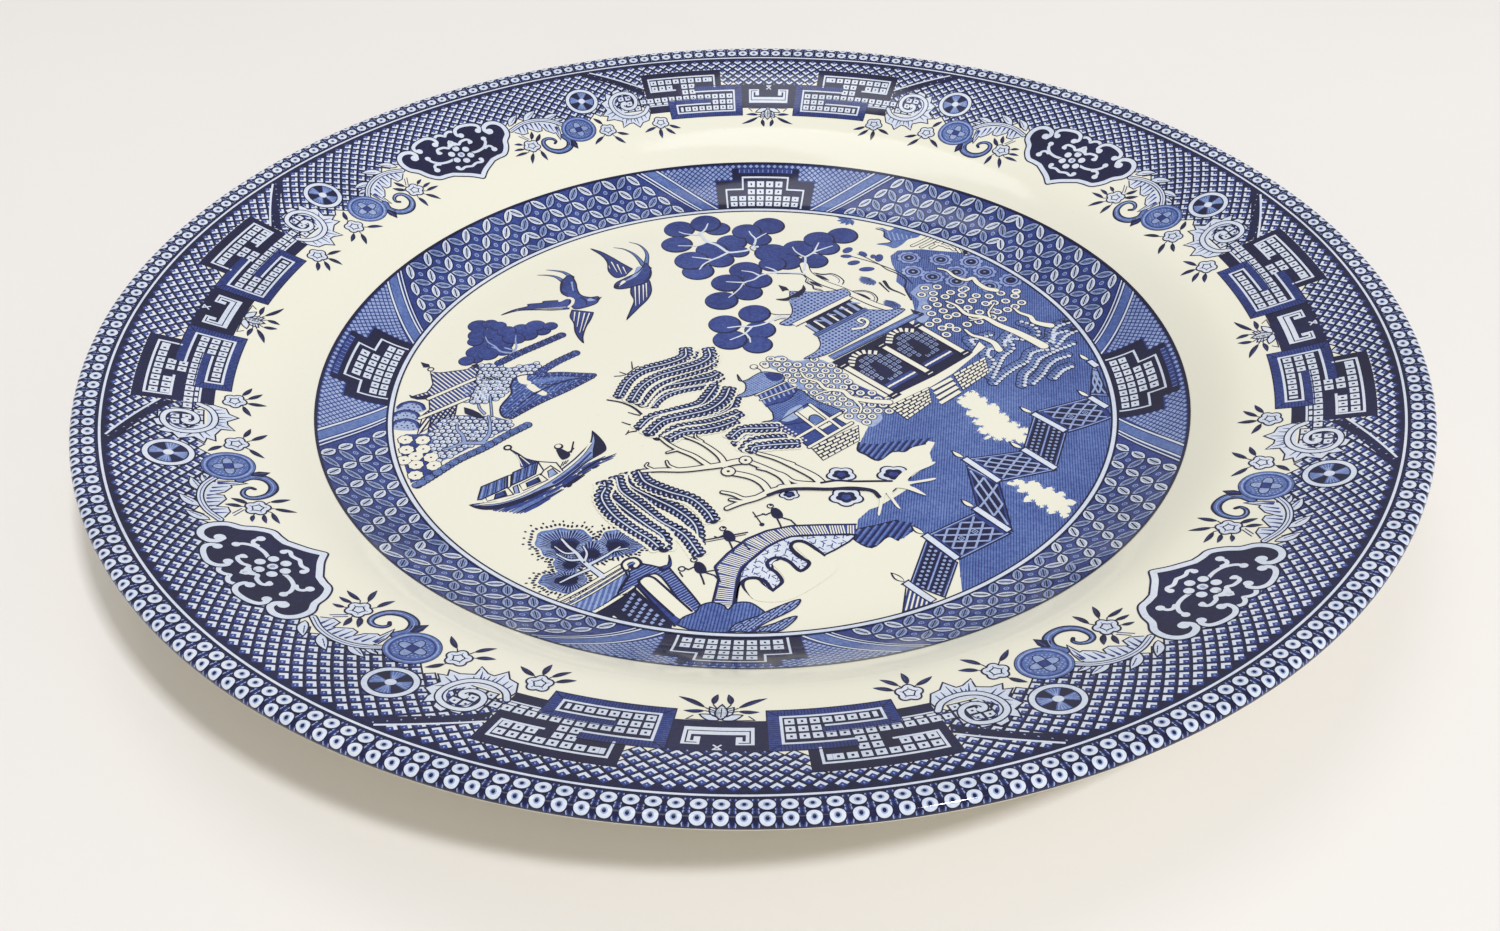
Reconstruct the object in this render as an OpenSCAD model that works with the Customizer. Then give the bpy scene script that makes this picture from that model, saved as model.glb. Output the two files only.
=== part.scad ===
// Round china dinner plate, built up in the layers it is made of:
// a fired clay body, four underglaze transfer prints on its upper face,
// and the clear glaze that seals the face, the back and the base.
// Origin: centre of the foot ring's resting plane. +Z points up, out of the well.

/* [Plate] */
// Outer diameter over the lip
plate_d = 260; // [250:1:275]
// Overall height from the resting plane to the top of the lip
plate_h = 26.5; // [25.5:0.1:28]
// Height of the well floor above the resting plane
well_z = 4.9; // [4.6:0.1:5.4]
// Radius of the flat middle of the well
well_flat_r = 66; // [60:1:70]
// Radius of the rounded lip in section
lip_r = 1.15; // [1.05:0.05:1.3]

/* [Foot] */
// Inner radius of the dry foot ring
foot_in_r = 73.4; // [72:0.1:74]
// Width of the foot ring where it rests
foot_w = 3; // [2:0.1:4]
// Height of the base panel above the resting plane, inside the foot ring
base_z = 1.6; // [1.2:0.1:1.9]

/* [Glaze and prints] */
// Thickness of the clear glaze, measured upright
glaze_t = 0.3; // [0.25:0.05:0.4]
// Thickness of each transfer print, measured upright
print_t = 0.1; // [0.08:0.01:0.12]
// Outer radius of the round picture in the middle of the well
scene_r = 75.4; // [70:0.1:75.4]
// Inner radius of the patterned band on the wall of the well
band_in_r = 75.6; // [75.6:0.1:77]
// Outer radius of the patterned band on the wall of the well
band_out_r = 89.4; // [88:0.1:90]
// Inner radius of the wide border on the rim, at its lowest leaf tips
rim_in_r = 97; // [96:0.1:99]
// Outer radius of the wide border on the rim
rim_out_r = 125.2; // [124:0.1:125.2]
// Inner radius of the narrow ring of beads along the lip
edge_in_r = 125.4; // [125.4:0.1:126]

/* [Hidden] */
$fn = 180;
plate_r = plate_d / 2;
foot_out_r = foot_in_r + foot_w;
lip_cr = plate_r - lip_r;          // centre of the lip's section circle
lip_cz = plate_h - lip_r;
lip_top_slope = 0.2;               // slopes where the lip circle meets the face and the back
lip_back_slope = 0.4;
lip_top_a = 90 + atan(lip_top_slope);
lip_back_a = -90 + atan(lip_back_slope);
lip_top = [lip_cr + lip_r * cos(lip_top_a), lip_cz + lip_r * sin(lip_top_a)];
lip_back = [lip_cr + lip_r * cos(lip_back_a), lip_cz + lip_r * sin(lip_back_a)];

// Section of the face: [radius, height, slope] at each station
FACE = [[0, well_z, 0],
        [well_flat_r, well_z, 0],
        [76, well_z + 0.7, 0.2],
        [84, well_z + 3.85, 0.55],
        [91, well_z + 8.1, 0.62],
        [98, well_z + 11.8, 0.38],
        [104, well_z + 13.6, 0.3],
        [120, well_z + 19.3, 0.33],
        [lip_top[0], lip_top[1], lip_top_slope]];
// Section of the back, outside the foot ring
BACK = [[foot_out_r + 0.9, 1.0, 0.75],
        [80.5, 2.6, 0.4],
        [84, 4.1, 0.5],
        [91, 8.0, 0.58],
        [98, 11.9, 0.47],
        [104, 14.2, 0.34],
        [120, 20.3, 0.42],
        [lip_back[0], lip_back[1], lip_back_slope]];

// Smooth curve through the stations: the height at radius r
function herm(a, b, t) =
    let (d = b[0] - a[0])
    (2*t*t*t - 3*t*t + 1) * a[1] + (t*t*t - 2*t*t + t) * d * a[2]
    + (3*t*t - 2*t*t*t) * b[1] + (t*t*t - t*t) * d * b[2];
function seg(s, r, i = 0) =
    i >= len(s) - 2 || r <= s[i+1][0] ? i : seg(s, r, i + 1);
function height_at(s, r) =
    let (i = seg(s, r), a = s[i], b = s[i+1])
    herm(a, b, (r - a[0]) / (b[0] - a[0]));
function face_z(r) = height_at(FACE, r);
function back_z(r) = height_at(BACK, r);

// Shared stations, so that neighbouring layers meet along the same edges
station = 2.5;
function stations(r0, r1) =
    concat([r0], [for (r = [0:station:plate_r]) if (r > r0 + 0.05 && r < r1 - 0.05) r], [r1]);
function flip(v) = [for (i = [len(v) - 1:-1:0]) v[i]];
function join(v) = [for (a = v, b = a) b];

// Points along a section between two radii, moved up or down by d
function face_run(r0, r1, d) = [for (r = stations(r0, r1)) [r, face_z(r) - d]];
function back_run(r0, r1, d) = [for (r = stations(r0, r1)) [r, back_z(r) + d]];
function lip_arc(a0, a1, n, d) =
    [for (i = [0:n]) let (a = a0 + (a1 - a0) * i / n)
        [lip_cr + (lip_r - d) * cos(a), lip_cz + (lip_r - d) * sin(a)]];

lip_mid_a = 0;                     // the face glaze meets the back glaze at the lip's widest line
edge_end_a = 14;                   // the bead ring stops here on the lip's curve
join_r = lip_top[0] - 0.25;        // the face runs into the lip circle here
wall_r = foot_out_r + 0.9;
under_print = glaze_t - print_t;   // depth of a print's upper side
// Radii where prints start and stop, with the depth of the clear glaze over each stretch
ZONES = [[0, scene_r, under_print],
         [scene_r, band_in_r, glaze_t],
         [band_in_r, band_out_r, under_print],
         [band_out_r, rim_in_r, glaze_t],
         [rim_in_r, rim_out_r, under_print],
         [rim_out_r, edge_in_r, glaze_t]];

// Section of a thin sheet that lies on the body, under the glaze
module print_sheet(r0, r1) {
    rotate_extrude()
        polygon(concat(face_run(r0, r1, glaze_t), flip(face_run(r0, r1, under_print))));
}

// The fired clay body, glazed everywhere but on the foot's resting face
module biscuit_body() {
    color([0.93, 0.91, 0.84])
    rotate_extrude()
        polygon(concat(
            [[0, base_z + glaze_t],
             [foot_in_r - 0.6, base_z + glaze_t], [foot_in_r, base_z + glaze_t - 0.35],
             [foot_in_r + glaze_t, 0.25], [foot_in_r + 0.55, 0],
             [foot_out_r - 0.55, 0], [foot_out_r - 0.25, 0.25]],
            back_run(wall_r, lip_back[0], glaze_t),
            lip_arc(lip_back_a, lip_mid_a, 6, glaze_t),
            lip_arc(lip_mid_a, edge_end_a, 3, glaze_t),
            lip_arc(edge_end_a, lip_top_a, 8, glaze_t),
            flip(face_run(edge_in_r, join_r, glaze_t)),
            flip(join([for (z = ZONES) face_run(z[0], z[1], glaze_t)]))));
}

// Clear glaze over the whole face, thinner where a print lies under it
module face_glaze() {
    color([0.97, 0.96, 0.90, 0.45])
    rotate_extrude()
        polygon(concat(
            join([for (z = ZONES) face_run(z[0], z[1], z[2])]),
            face_run(edge_in_r, join_r, under_print),
            lip_arc(lip_top_a, edge_end_a, 8, under_print),
            lip_arc(edge_end_a, lip_mid_a, 3, glaze_t),
            lip_arc(lip_mid_a, edge_end_a, 3, 0),
            lip_arc(edge_end_a, lip_top_a, 8, 0),
            flip(face_run(edge_in_r, join_r, 0)),
            flip(join([for (z = ZONES) face_run(z[0], z[1], 0)]))));
}

// Clear glaze over the back, from the foot ring out to the lip
module back_glaze() {
    color([0.97, 0.96, 0.90, 0.45])
    rotate_extrude()
        polygon(concat(
            [[foot_out_r - 0.25, 0.25], [foot_out_r + 0.15, 0.25]],
            back_run(wall_r, lip_back[0], 0),
            lip_arc(lip_back_a, lip_mid_a, 6, 0),
            lip_arc(lip_mid_a, lip_back_a, 6, glaze_t),
            flip(back_run(wall_r, lip_back[0], glaze_t))));
}

// Clear glaze over the base panel, inside the foot ring
module base_glaze() {
    color([0.97, 0.96, 0.90, 0.45])
    rotate_extrude()
        polygon([[0, base_z], [foot_in_r - 0.75, base_z], [foot_in_r - 0.3, base_z - 0.25],
                 [foot_in_r - 0.05, 0.25], [foot_in_r + glaze_t, 0.25],
                 [foot_in_r, base_z + glaze_t - 0.35], [foot_in_r - 0.6, base_z + glaze_t],
                 [0, base_z + glaze_t]]);
}

// Transfer print: the narrow ring of beads, which runs over onto the lip
module edge_band_print() {
    color([0.30, 0.36, 0.60])
    rotate_extrude()
        polygon(concat(
            face_run(edge_in_r, join_r, glaze_t),
            lip_arc(lip_top_a, edge_end_a, 8, glaze_t),
            lip_arc(edge_end_a, lip_top_a, 8, under_print),
            flip(face_run(edge_in_r, join_r, under_print))));
}

// Transfer print: the wide border on the rim
module rim_border_print() {
    color([0.24, 0.29, 0.52]) print_sheet(rim_in_r, rim_out_r);
}

// Transfer print: the patterned band on the wall of the well
module well_border_print() {
    color([0.34, 0.41, 0.65]) print_sheet(band_in_r, band_out_r);
}

// Transfer print: the round landscape picture in the middle
module centre_scene_print() {
    color([0.42, 0.49, 0.70]) print_sheet(0, scene_r);
}

biscuit_body();
face_glaze();
back_glaze();
base_glaze();
edge_band_print();
rim_border_print();
well_border_print();
centre_scene_print();
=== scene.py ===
# Blue and white china dinner plate: the looks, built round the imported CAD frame.
# Everything is in metres in the CAD frame; drawing helpers work in millimetres and are scaled at the end.
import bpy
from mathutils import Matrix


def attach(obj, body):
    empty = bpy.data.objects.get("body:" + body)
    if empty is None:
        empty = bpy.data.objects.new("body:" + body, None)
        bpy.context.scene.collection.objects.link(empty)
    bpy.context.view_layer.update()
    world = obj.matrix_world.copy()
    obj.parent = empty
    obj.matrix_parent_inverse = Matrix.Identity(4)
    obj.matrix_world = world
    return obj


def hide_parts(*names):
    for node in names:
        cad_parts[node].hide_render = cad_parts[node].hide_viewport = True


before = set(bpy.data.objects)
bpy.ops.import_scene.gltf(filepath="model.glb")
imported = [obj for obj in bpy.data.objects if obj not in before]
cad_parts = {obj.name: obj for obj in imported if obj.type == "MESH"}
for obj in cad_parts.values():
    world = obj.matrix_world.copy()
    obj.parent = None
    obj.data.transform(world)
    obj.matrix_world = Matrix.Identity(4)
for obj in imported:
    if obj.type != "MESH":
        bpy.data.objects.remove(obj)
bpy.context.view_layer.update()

import math
import bpy
import numpy as np
from mathutils import Matrix, Vector
from mathutils.geometry import tessellate_polygon

MM = 0.001
pi = math.pi
sin, cos, hypot = math.sin, math.cos, math.hypot
rad = math.radians

# ---------------------------------------------------------------- profile (the CAD section, same stations)
R_OUT, H_TOP, WELL_Z, LIP = 130.0, 26.5, 4.9, 1.15
LCR, LCZ = R_OUT - LIP, H_TOP - LIP
TOP_A, BACK_A = 90 + math.degrees(math.atan(0.2)), -90 + math.degrees(math.atan(0.4))
LT = (LCR + LIP * cos(rad(TOP_A)), LCZ + LIP * sin(rad(TOP_A)))
LB = (LCR + LIP * cos(rad(BACK_A)), LCZ + LIP * sin(rad(BACK_A)))
FACE = np.array([(0, WELL_Z, 0), (66, WELL_Z, 0), (76, WELL_Z + 0.7, 0.2), (84, WELL_Z + 3.85, 0.55),
                 (91, WELL_Z + 8.1, 0.62), (98, WELL_Z + 11.8, 0.38), (104, WELL_Z + 13.6, 0.3),
                 (120, WELL_Z + 19.3, 0.33), (LT[0], LT[1], 0.2)])
BACK = np.array([(77.3, 1.0, 0.75), (80.5, 2.6, 0.4), (84, 4.1, 0.5), (91, 8.0, 0.58), (98, 11.9, 0.47),
                 (104, 14.2, 0.34), (120, 20.3, 0.42), (LB[0], LB[1], 0.4)])


def hermite(K, r):
    """Height and slope of a section at the radii r."""
    r = np.clip(np.asarray(r, float), K[0, 0], K[-1, 0])
    i = np.clip(np.searchsorted(K[:, 0], r, side="right") - 1, 0, len(K) - 2)
    a, b = K[i], K[i + 1]
    d = b[..., 0] - a[..., 0]
    t = (r - a[..., 0]) / d
    z = ((2*t**3 - 3*t**2 + 1) * a[..., 1] + (t**3 - 2*t**2 + t) * d * a[..., 2]
         + (3*t**2 - 2*t**3) * b[..., 1] + (t**3 - t**2) * d * b[..., 2])
    s = ((6*t**2 - 6*t) * a[..., 1] / d + (3*t**2 - 4*t + 1) * a[..., 2]
         + (6*t - 6*t**2) * b[..., 1] / d + (3*t**2 - 2*t) * b[..., 2])
    return z, s


# the edge zone is drawn on the lip's own arc length: rho = 125.25 + s
E0 = 125.5
_re = np.linspace(E0, LT[0], 40)
_ze, _se = hermite(FACE, _re)
_aa = np.radians(np.linspace(TOP_A, -34, 240))[1:]
_pr = np.r_[_re, LCR + LIP * np.cos(_aa)]
_pz = np.r_[_ze, LCZ + LIP * np.sin(_aa)]
_nr = np.r_[-_se / np.sqrt(1 + _se**2), np.cos(_aa)]
_nz = np.r_[1 / np.sqrt(1 + _se**2), np.sin(_aa)]
_ps = np.r_[0, np.cumsum(np.hypot(np.diff(_pr), np.diff(_pz)))]


def lift(xy, level):
    """Plan points to points on the face, raised by the ink's level, and the face's normals there."""
    xy = np.asarray(xy, float)
    rho = np.hypot(xy[:, 0], xy[:, 1])
    ux, uy = xy[:, 0] / np.maximum(rho, 1e-9), xy[:, 1] / np.maximum(rho, 1e-9)
    z, s = hermite(FACE, rho)
    nr, nz = -s / np.sqrt(1 + s * s), 1 / np.sqrt(1 + s * s)
    r = rho.copy()
    e = rho > E0 + 1e-6
    if e.any():
        q = rho[e] - E0
        r[e], z[e] = np.interp(q, _ps, _pr), np.interp(q, _ps, _pz)
        nr[e], nz[e] = np.interp(q, _ps, _nr), np.interp(q, _ps, _nz)
        m = np.hypot(nr[e], nz[e])
        nr[e] /= m
        nz[e] /= m
    off = 0.010 + 0.006 * np.asarray(level, float)
    co = np.c_[(r + nr * off) * ux, (r + nr * off) * uy, z + nz * off]
    no = np.c_[nr * ux, nr * uy, nz]
    return co, no


# ---------------------------------------------------------------- drawing in the plate's plan, in millimetres
class Art:
    """Flat ink shapes by tone: triangles in plan, each with a level that orders what lies over what."""

    def __init__(self):
        self.v, self.f, self.n, self.k = {}, {}, {}, 0

    def add(self, tone, level, pts, tris):
        pts = np.asarray(pts, float)
        tris = np.asarray(tris, int)
        if not len(tris):
            return
        a, b, c = pts[tris[:, 0]], pts[tris[:, 1]], pts[tris[:, 2]]
        ar = (b[:, 0] - a[:, 0]) * (c[:, 1] - a[:, 1]) - (b[:, 1] - a[:, 1]) * (c[:, 0] - a[:, 0])
        keep = np.abs(ar) > 1e-7
        tris, ar = tris[keep].copy(), ar[keep]
        flip = ar < 0
        tris[flip] = tris[flip][:, ::-1]
        k = self.n.get(tone, 0)
        self.k = (self.k + 1) % 37        # shapes of one level never lie in exactly one plane
        self.v.setdefault(tone, []).append(np.c_[pts, np.full(len(pts), float(level) + self.k / 41.0)])
        self.f.setdefault(tone, []).append(tris + k)
        self.n[tone] = k + len(pts)

    def fill(self, tone, level, pts, maxlen=1.2, holes=()):
        """A filled outline, cut small enough to follow the face."""
        loops = [[Vector((p[0], p[1], 0)) for p in pts]] + [[Vector((p[0], p[1], 0)) for p in h] for h in holes]
        flat = np.array([(p.x, p.y) for l in loops for p in l])
        tris = np.array(tessellate_polygon(loops), int)
        if not len(tris):
            return
        flat, tris = refine(flat, tris, maxlen)
        self.add(tone, level, flat, tris)

    def stroke(self, tone, level, pts, w, w1=None, closed=False, caps=True, maxlen=1.2):
        """A line of a width, or of widths along it, through the points."""
        p = np.asarray(pts, float)
        if closed:
            p = np.vstack([p, p[:1]])
        d = np.hypot(*np.diff(p, axis=0).T)
        p = p[np.r_[True, d > 1e-6]]
        if len(p) < 2:
            return
        q = [p[:1]]
        for a, b in zip(p[:-1], p[1:]):
            n = max(1, int(np.ceil(hypot(*(b - a)) / maxlen)))
            t = np.linspace(0, 1, n + 1)[1:, None]
            q.append(a + (b - a) * t)
        p = np.vstack(q)
        n = len(p)
        L = np.r_[0, np.cumsum(np.hypot(*np.diff(p, axis=0).T))]
        if np.ndim(w) == 0:
            ww = np.full(n, float(w)) if w1 is None else np.interp(L, [0, L[-1]], [w, w1])
        else:
            ww = np.interp(L / L[-1], np.linspace(0, 1, len(w)), w)
        t = np.gradient(p, axis=0)
        if closed:
            t[0] = t[-1] = p[1] - p[-2]
        t /= np.maximum(np.hypot(t[:, 0], t[:, 1]), 1e-9)[:, None]
        nn = np.c_[-t[:, 1], t[:, 0]]
        # widen at corners so that the line keeps its width
        seg = np.diff(p, axis=0)
        seg /= np.maximum(np.hypot(seg[:, 0], seg[:, 1]), 1e-9)[:, None]
        k = np.ones(n)
        if n > 2:
            tm = seg[:-1] + seg[1:]
            m = np.hypot(tm[:, 0], tm[:, 1])
            ok = m > 0.5
            t2 = t[1:-1].copy()
            t2[ok] = tm[ok] / m[ok][:, None]
            nn[1:-1] = np.c_[-t2[:, 1], t2[:, 0]]
            c = np.abs((t2 * seg[:-1]).sum(1))
            k[1:-1] = 1 / np.clip(c, 0.55, 1)
        h = (ww * k / 2)[:, None]
        A, B = p + nn * h, p - nn * h
        pts2 = np.vstack([A, B])
        i = np.arange(n - 1)
        tr = np.vstack([np.c_[i, i + n, i + n + 1], np.c_[i, i + n + 1, i + 1]])
        self.add(tone, level, pts2, tr)
        if caps and not closed:
            for c0, ww0 in ((p[0], ww[0]), (p[-1], ww[-1])):
                if ww0 > 0.12:
                    self.disc(tone, level, c0[0], c0[1], ww0 / 2, 8 if ww0 < 0.6 else 14)

    def disc(self, tone, level, x, y, r, n=20, ry=None, rot=0.0):
        ry = r if ry is None else ry
        a = np.linspace(0, 2 * pi, n, endpoint=False)
        c, s = cos(rot), sin(rot)
        px, py = r * np.cos(a), ry * np.sin(a)
        pts = np.c_[x + px * c - py * s, y + px * s + py * c]
        i = np.arange(1, n - 1)
        if max(r, ry) > 1.5:
            pts = np.vstack([pts, [[x, y]]])
            j = np.arange(n)
            pts, tr = refine(pts, np.c_[np.full(n, n), j, (j + 1) % n], 1.2)
            self.add(tone, level, pts, tr)
        else:
            self.add(tone, level, pts, np.c_[np.zeros(n - 2, int), i, i + 1])

    def ring(self, tone, level, x, y, r0, r1, n=28):
        a = np.linspace(0, 2 * pi, n, endpoint=False)
        u = np.c_[np.cos(a), np.sin(a)]
        pts = np.vstack([u * r0, u * r1]) + [x, y]
        i = np.arange(n)
        j = (i + 1) % n
        self.add(tone, level, pts, np.vstack([np.c_[i, i + n, j + n], np.c_[i, j + n, j]]))

    def annulus(self, tone, level, r0, r1, n=720, dr=0.6, a0=0.0, a1=360.0):
        """A ring of ink about the plate's axis."""
        m = max(1, int(np.ceil((r1 - r0) / dr)))
        rr = np.linspace(r0, r1, m + 1)
        full = a1 - a0 >= 359.99
        a = np.radians(np.linspace(a0, a1, n + 1))
        if full:
            a = a[:-1]
        k = len(a)
        pts = np.concatenate([np.c_[r * np.cos(a), r * np.sin(a)] for r in rr])
        i = np.arange(k if full else k - 1)
        j = (i + 1) % k
        tr = [np.vstack([np.c_[i + q*k, i + (q+1)*k, j + (q+1)*k], np.c_[i + q*k, j + (q+1)*k, j + q*k]]) for q in range(m)]
        self.add(tone, level, pts, np.vstack(tr))

    def merged(self):
        for t in self.v:
            yield t, np.vstack(self.v[t]), np.vstack(self.f[t])

    def take(self, other, M=None, lift_level=0.0):
        """Adds a copy of other, moved by the 2x2 or 2x3 matrix M."""
        for t, v, f in other.merged():
            p = v[:, :2]
            if M is not None:
                M = np.asarray(M, float)
                p = p @ M[:, :2].T + (M[:, 2] if M.shape[1] == 3 else 0)
                if np.linalg.det(M[:, :2]) < 0:
                    f = f[:, ::-1]
            k = self.n.get(t, 0)
            self.v.setdefault(t, []).append(np.c_[p, v[:, 2] + lift_level])
            self.f.setdefault(t, []).append(f + k)
            self.n[t] = k + len(p)


def refine(p, t, maxlen):
    """Splits every triangle in four until no side is longer than maxlen."""
    p = np.asarray(p, float)
    for _ in range(8):
        e = np.concatenate([p[t[:, 0]] - p[t[:, 1]], p[t[:, 1]] - p[t[:, 2]], p[t[:, 2]] - p[t[:, 0]]])
        L = np.hypot(e[:, 0], e[:, 1])
        big = L.reshape(3, -1).max(0) > maxlen
        if not big.any():
            break
        keep, cut = t[~big], t[big]
        E = np.sort(np.vstack([cut[:, [0, 1]], cut[:, [1, 2]], cut[:, [2, 0]]]), axis=1)
        U, inv = np.unique(E, axis=0, return_inverse=True)
        inv = inv.reshape(-1)
        mid = (p[U[:, 0]] + p[U[:, 1]]) / 2
        k = len(p)
        p = np.vstack([p, mid])
        n = len(cut)
        ab, bc, ca = inv[:n] + k, inv[n:2*n] + k, inv[2*n:] + k
        a, b, c = cut[:, 0], cut[:, 1], cut[:, 2]
        t = np.vstack([keep, np.c_[a, ab, ca], np.c_[ab, b, bc], np.c_[ca, bc, c], np.c_[ab, bc, ca]])
    return p, t


def rot2(a):
    a = rad(a)
    return np.array([[cos(a), -sin(a)], [sin(a), cos(a)]])


MIRX = np.array([[-1.0, 0], [0, 1]])


def P(phi, r):
    """A point at phi degrees from the +Y axis, clockwise, and radius r."""
    return (r * sin(rad(phi)), r * cos(rad(phi)))


def PP(pts, step=0.6):
    """A path given in (degrees, radius), its sides following the circles."""
    out = []
    pts = list(pts)
    for a, b in zip(pts[:-1], pts[1:]):
        n = max(1, int(math.ceil(abs(b[0] - a[0]) / step)))
        out += [(a[0] + (b[0] - a[0]) * i / n, a[1] + (b[1] - a[1]) * i / n) for i in range(n)]
    out.append(pts[-1])
    return [P(*q) for q in out]


def box(p0, p1, r0, r1):
    return PP([(p0, r0), (p1, r0), (p1, r1), (p0, r1), (p0, r0)])[:-1]


def curve(pts, n=8, closed=False):
    """A smooth line through the points."""
    p = np.asarray(pts, float)
    m = len(p)
    out = []
    rng = range(m if closed else m - 1)
    for i in rng:
        if closed:
            a, b, c, d = p[(i - 1) % m], p[i], p[(i + 1) % m], p[(i + 2) % m]
        else:
            b, c = p[i], p[i + 1]
            a = p[i - 1] if i else 2 * b - c
            d = p[i + 2] if i + 2 < m else 2 * c - b
        t = np.linspace(0, 1, n, endpoint=False)[:, None]
        out.append(0.5 * ((2 * b) + (c - a) * t + (2*a - 5*b + 4*c - d) * t**2 + (3*b - a - 3*c + d) * t**3))
    if not closed:
        out.append(p[-1:])
    return np.vstack(out)


def at(origin_phi, origin_r):
    """Local millimetres about a point on the rim: x along the rim, y outwards, bent with it."""
    def f(pts):
        return [P(origin_phi + math.degrees(x / origin_r), origin_r + y) for x, y in pts]
    return f


def leafshape(x0, y0, x1, y1, w, bend=0.0, n=9):
    """A pointed leaf from its foot to its tip, w across, with its middle pushed sideways."""
    d = np.array([x1 - x0, y1 - y0])
    L = hypot(*d)
    d /= L
    nrm = np.array([-d[1], d[0]])
    t = np.linspace(0, 1, n)
    c = np.array([x0, y0]) + np.outer(t * L, d) + np.outer(bend * np.sin(pi * t), nrm)
    h = w / 2 * np.sin(pi * t**0.85) ** 0.9
    return np.vstack([c + h[:, None] * nrm, (c - h[:, None] * nrm)[::-1][1:-1]])


# ---------------------------------------------------------------- the ring of beads along the lip
COLS = 264
PITCH = 360.0 / COLS
edge = Art()
edge.annulus("navy", 0, E0 - 0.02, E0 + 5.5, n=792, dr=0.14)
_c = Art()


def strip(tone, lev, A, B):
    """A band of quads between two rows of points, fine enough to bend round the lip."""
    n = len(A)
    i = np.arange(n - 1)
    _c.add(tone, lev, np.vstack([A, B]), np.vstack([np.c_[i, i + n, i + n + 1], np.c_[i, i + n + 1, i + 1]]))


def bead(tone, lev, s0, r, ry, m=16):
    t = np.linspace(-pi / 2, pi / 2, m + 1)
    strip(tone, lev, np.c_[-r * np.cos(t), E0 + s0 + ry * np.sin(t)], np.c_[r * np.cos(t), E0 + s0 + ry * np.sin(t)])


for s0, s1 in ((0.15, 2.42), (2.56, 5.1)):
    y = np.linspace(E0 + s0, E0 + s1, 13)
    u = np.linspace(0, 1, 13)
    for sg in (-1, 1):
        for c0, amp, wd, tone, lev in ((1.38, -.30, .2, "blue", 2), (1.14, -.12, .17, "light", 3)):
            x = sg * (c0 + amp * np.sin(pi * u))
            strip(tone, lev, np.c_[x - wd / 2, y], np.c_[x + wd / 2, y])
for s0, r, ry in ((1.3, 1.16, 1.04), (3.78, 1.08, 1.02)):
    bead("navy", 6, s0, r + .22, ry + .2)
    bead("pale", 9, s0, r, ry)
    bead("light", 12, s0, r * .46, ry * .46, 8)
    bead("navy", 15, s0, .29, .3, 6)
for k in range(COLS):
    edge.take(_c, rot2((k + 0.5) * PITCH))

# ---------------------------------------------------------------- the wide border on the rim
rim = Art()
rim.annulus("navy", 1, 125.1, 125.48, n=720)
rim.annulus("pale", 2, 124.7, 125.12, n=720)
rim.annulus("navy", 1, 124.3, 124.72, n=720)
rim.annulus("navy", 0, 121.9, 124.35, n=720)
KP = 1.012


def lattice_floor(phi):
    """Where the trellis ground ends, seen from the nearest compass axis."""
    q = abs((phi + 45) % 90 - 45)
    return float(np.interp(q, [0, 3.5, 3.7, 6.3, 6.45, 16.4, 16.7, 19.5, 22.3, 24, 27.5, 29.5, 31, 37, 38, 45],
                           [114, 114, 114.4, 114.4, 119.5, 119.5, 108.4, 108.5, 108.6, 108.4, 107.2, 108.2, 111.4, 112.4, 113.2, 114.2]))


_cell = {}
for k in range(13):
    r = 123.1 - 1.25 * k
    a, b = r * rad(PITCH) / 2, 1.25
    c = Art()
    c.add("navy", 0, [(-a * 1.03, r), (0, r - b * 1.03), (a * 1.03, r), (0, r + b * 1.03)], [(0, 1, 2), (0, 2, 3)])
    c.add("pale", 1, [(-a * .7, r - .02), (0, r - b * .71), (a * .7, r - .02), (0, r + b * .68)], [(0, 1, 2), (0, 2, 3)])
    m = r + b * .36
    c.add("blue", 2, [(-a * .52, m), (0, m - b * .54), (a * .52, m), (0, m + b * .46)], [(0, 1, 2), (0, 2, 3)])
    c.add("light", 3, [(-.16, m - .05), (.05, m - .26), (.16, m - .05), (-.05, m + .16)], [(0, 1, 2), (0, 2, 3)])
    _cell[k] = c
for k in range(13):
    for j in range(COLS):
        phi = (j + (k % 2) * 0.5) * PITCH
        if 123.1 - 1.25 * k > lattice_floor(phi):
            rim.take(_cell[k], rot2(-phi))

hs = Art()            # one eighth of the border, from a compass axis to the diagonal


def q8(pts):
    return PP([(a * KP, b) for a, b in pts])


def block(tone, lev, pts, maxlen=1.3):
    hs.fill(tone, lev, q8(list(pts) + [pts[0]])[:-1], maxlen)


def line(tone, lev, pts, w, w1=None, caps=False):
    hs.stroke(tone, lev, q8(pts), w, w1, caps=caps)


# key block on the axis
block("navy", 3, [(0, 106.5), (3.68, 106.5), (3.68, 114.9), (0, 114.9)])
block("pale", 4, [(0, 108.3), (2.66, 108.3), (2.66, 113.0), (1.30, 113.0), (1.30, 110.9), (1.78, 110.9), (1.78, 112.0),
                  (2.02, 112.0), (2.02, 110.3), (0, 110.3)])
line("navy", 5, [(0, 109.3), (2.34, 109.3), (2.34, 112.5), (1.5, 112.5)], 0.22)
line("pale", 4, [(-0.3, 113.0), (0.3, 114.3)], 0.28)
line("pale", 4, [(0, 114.25), (0.34, 114.25)], 0.24)
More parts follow.
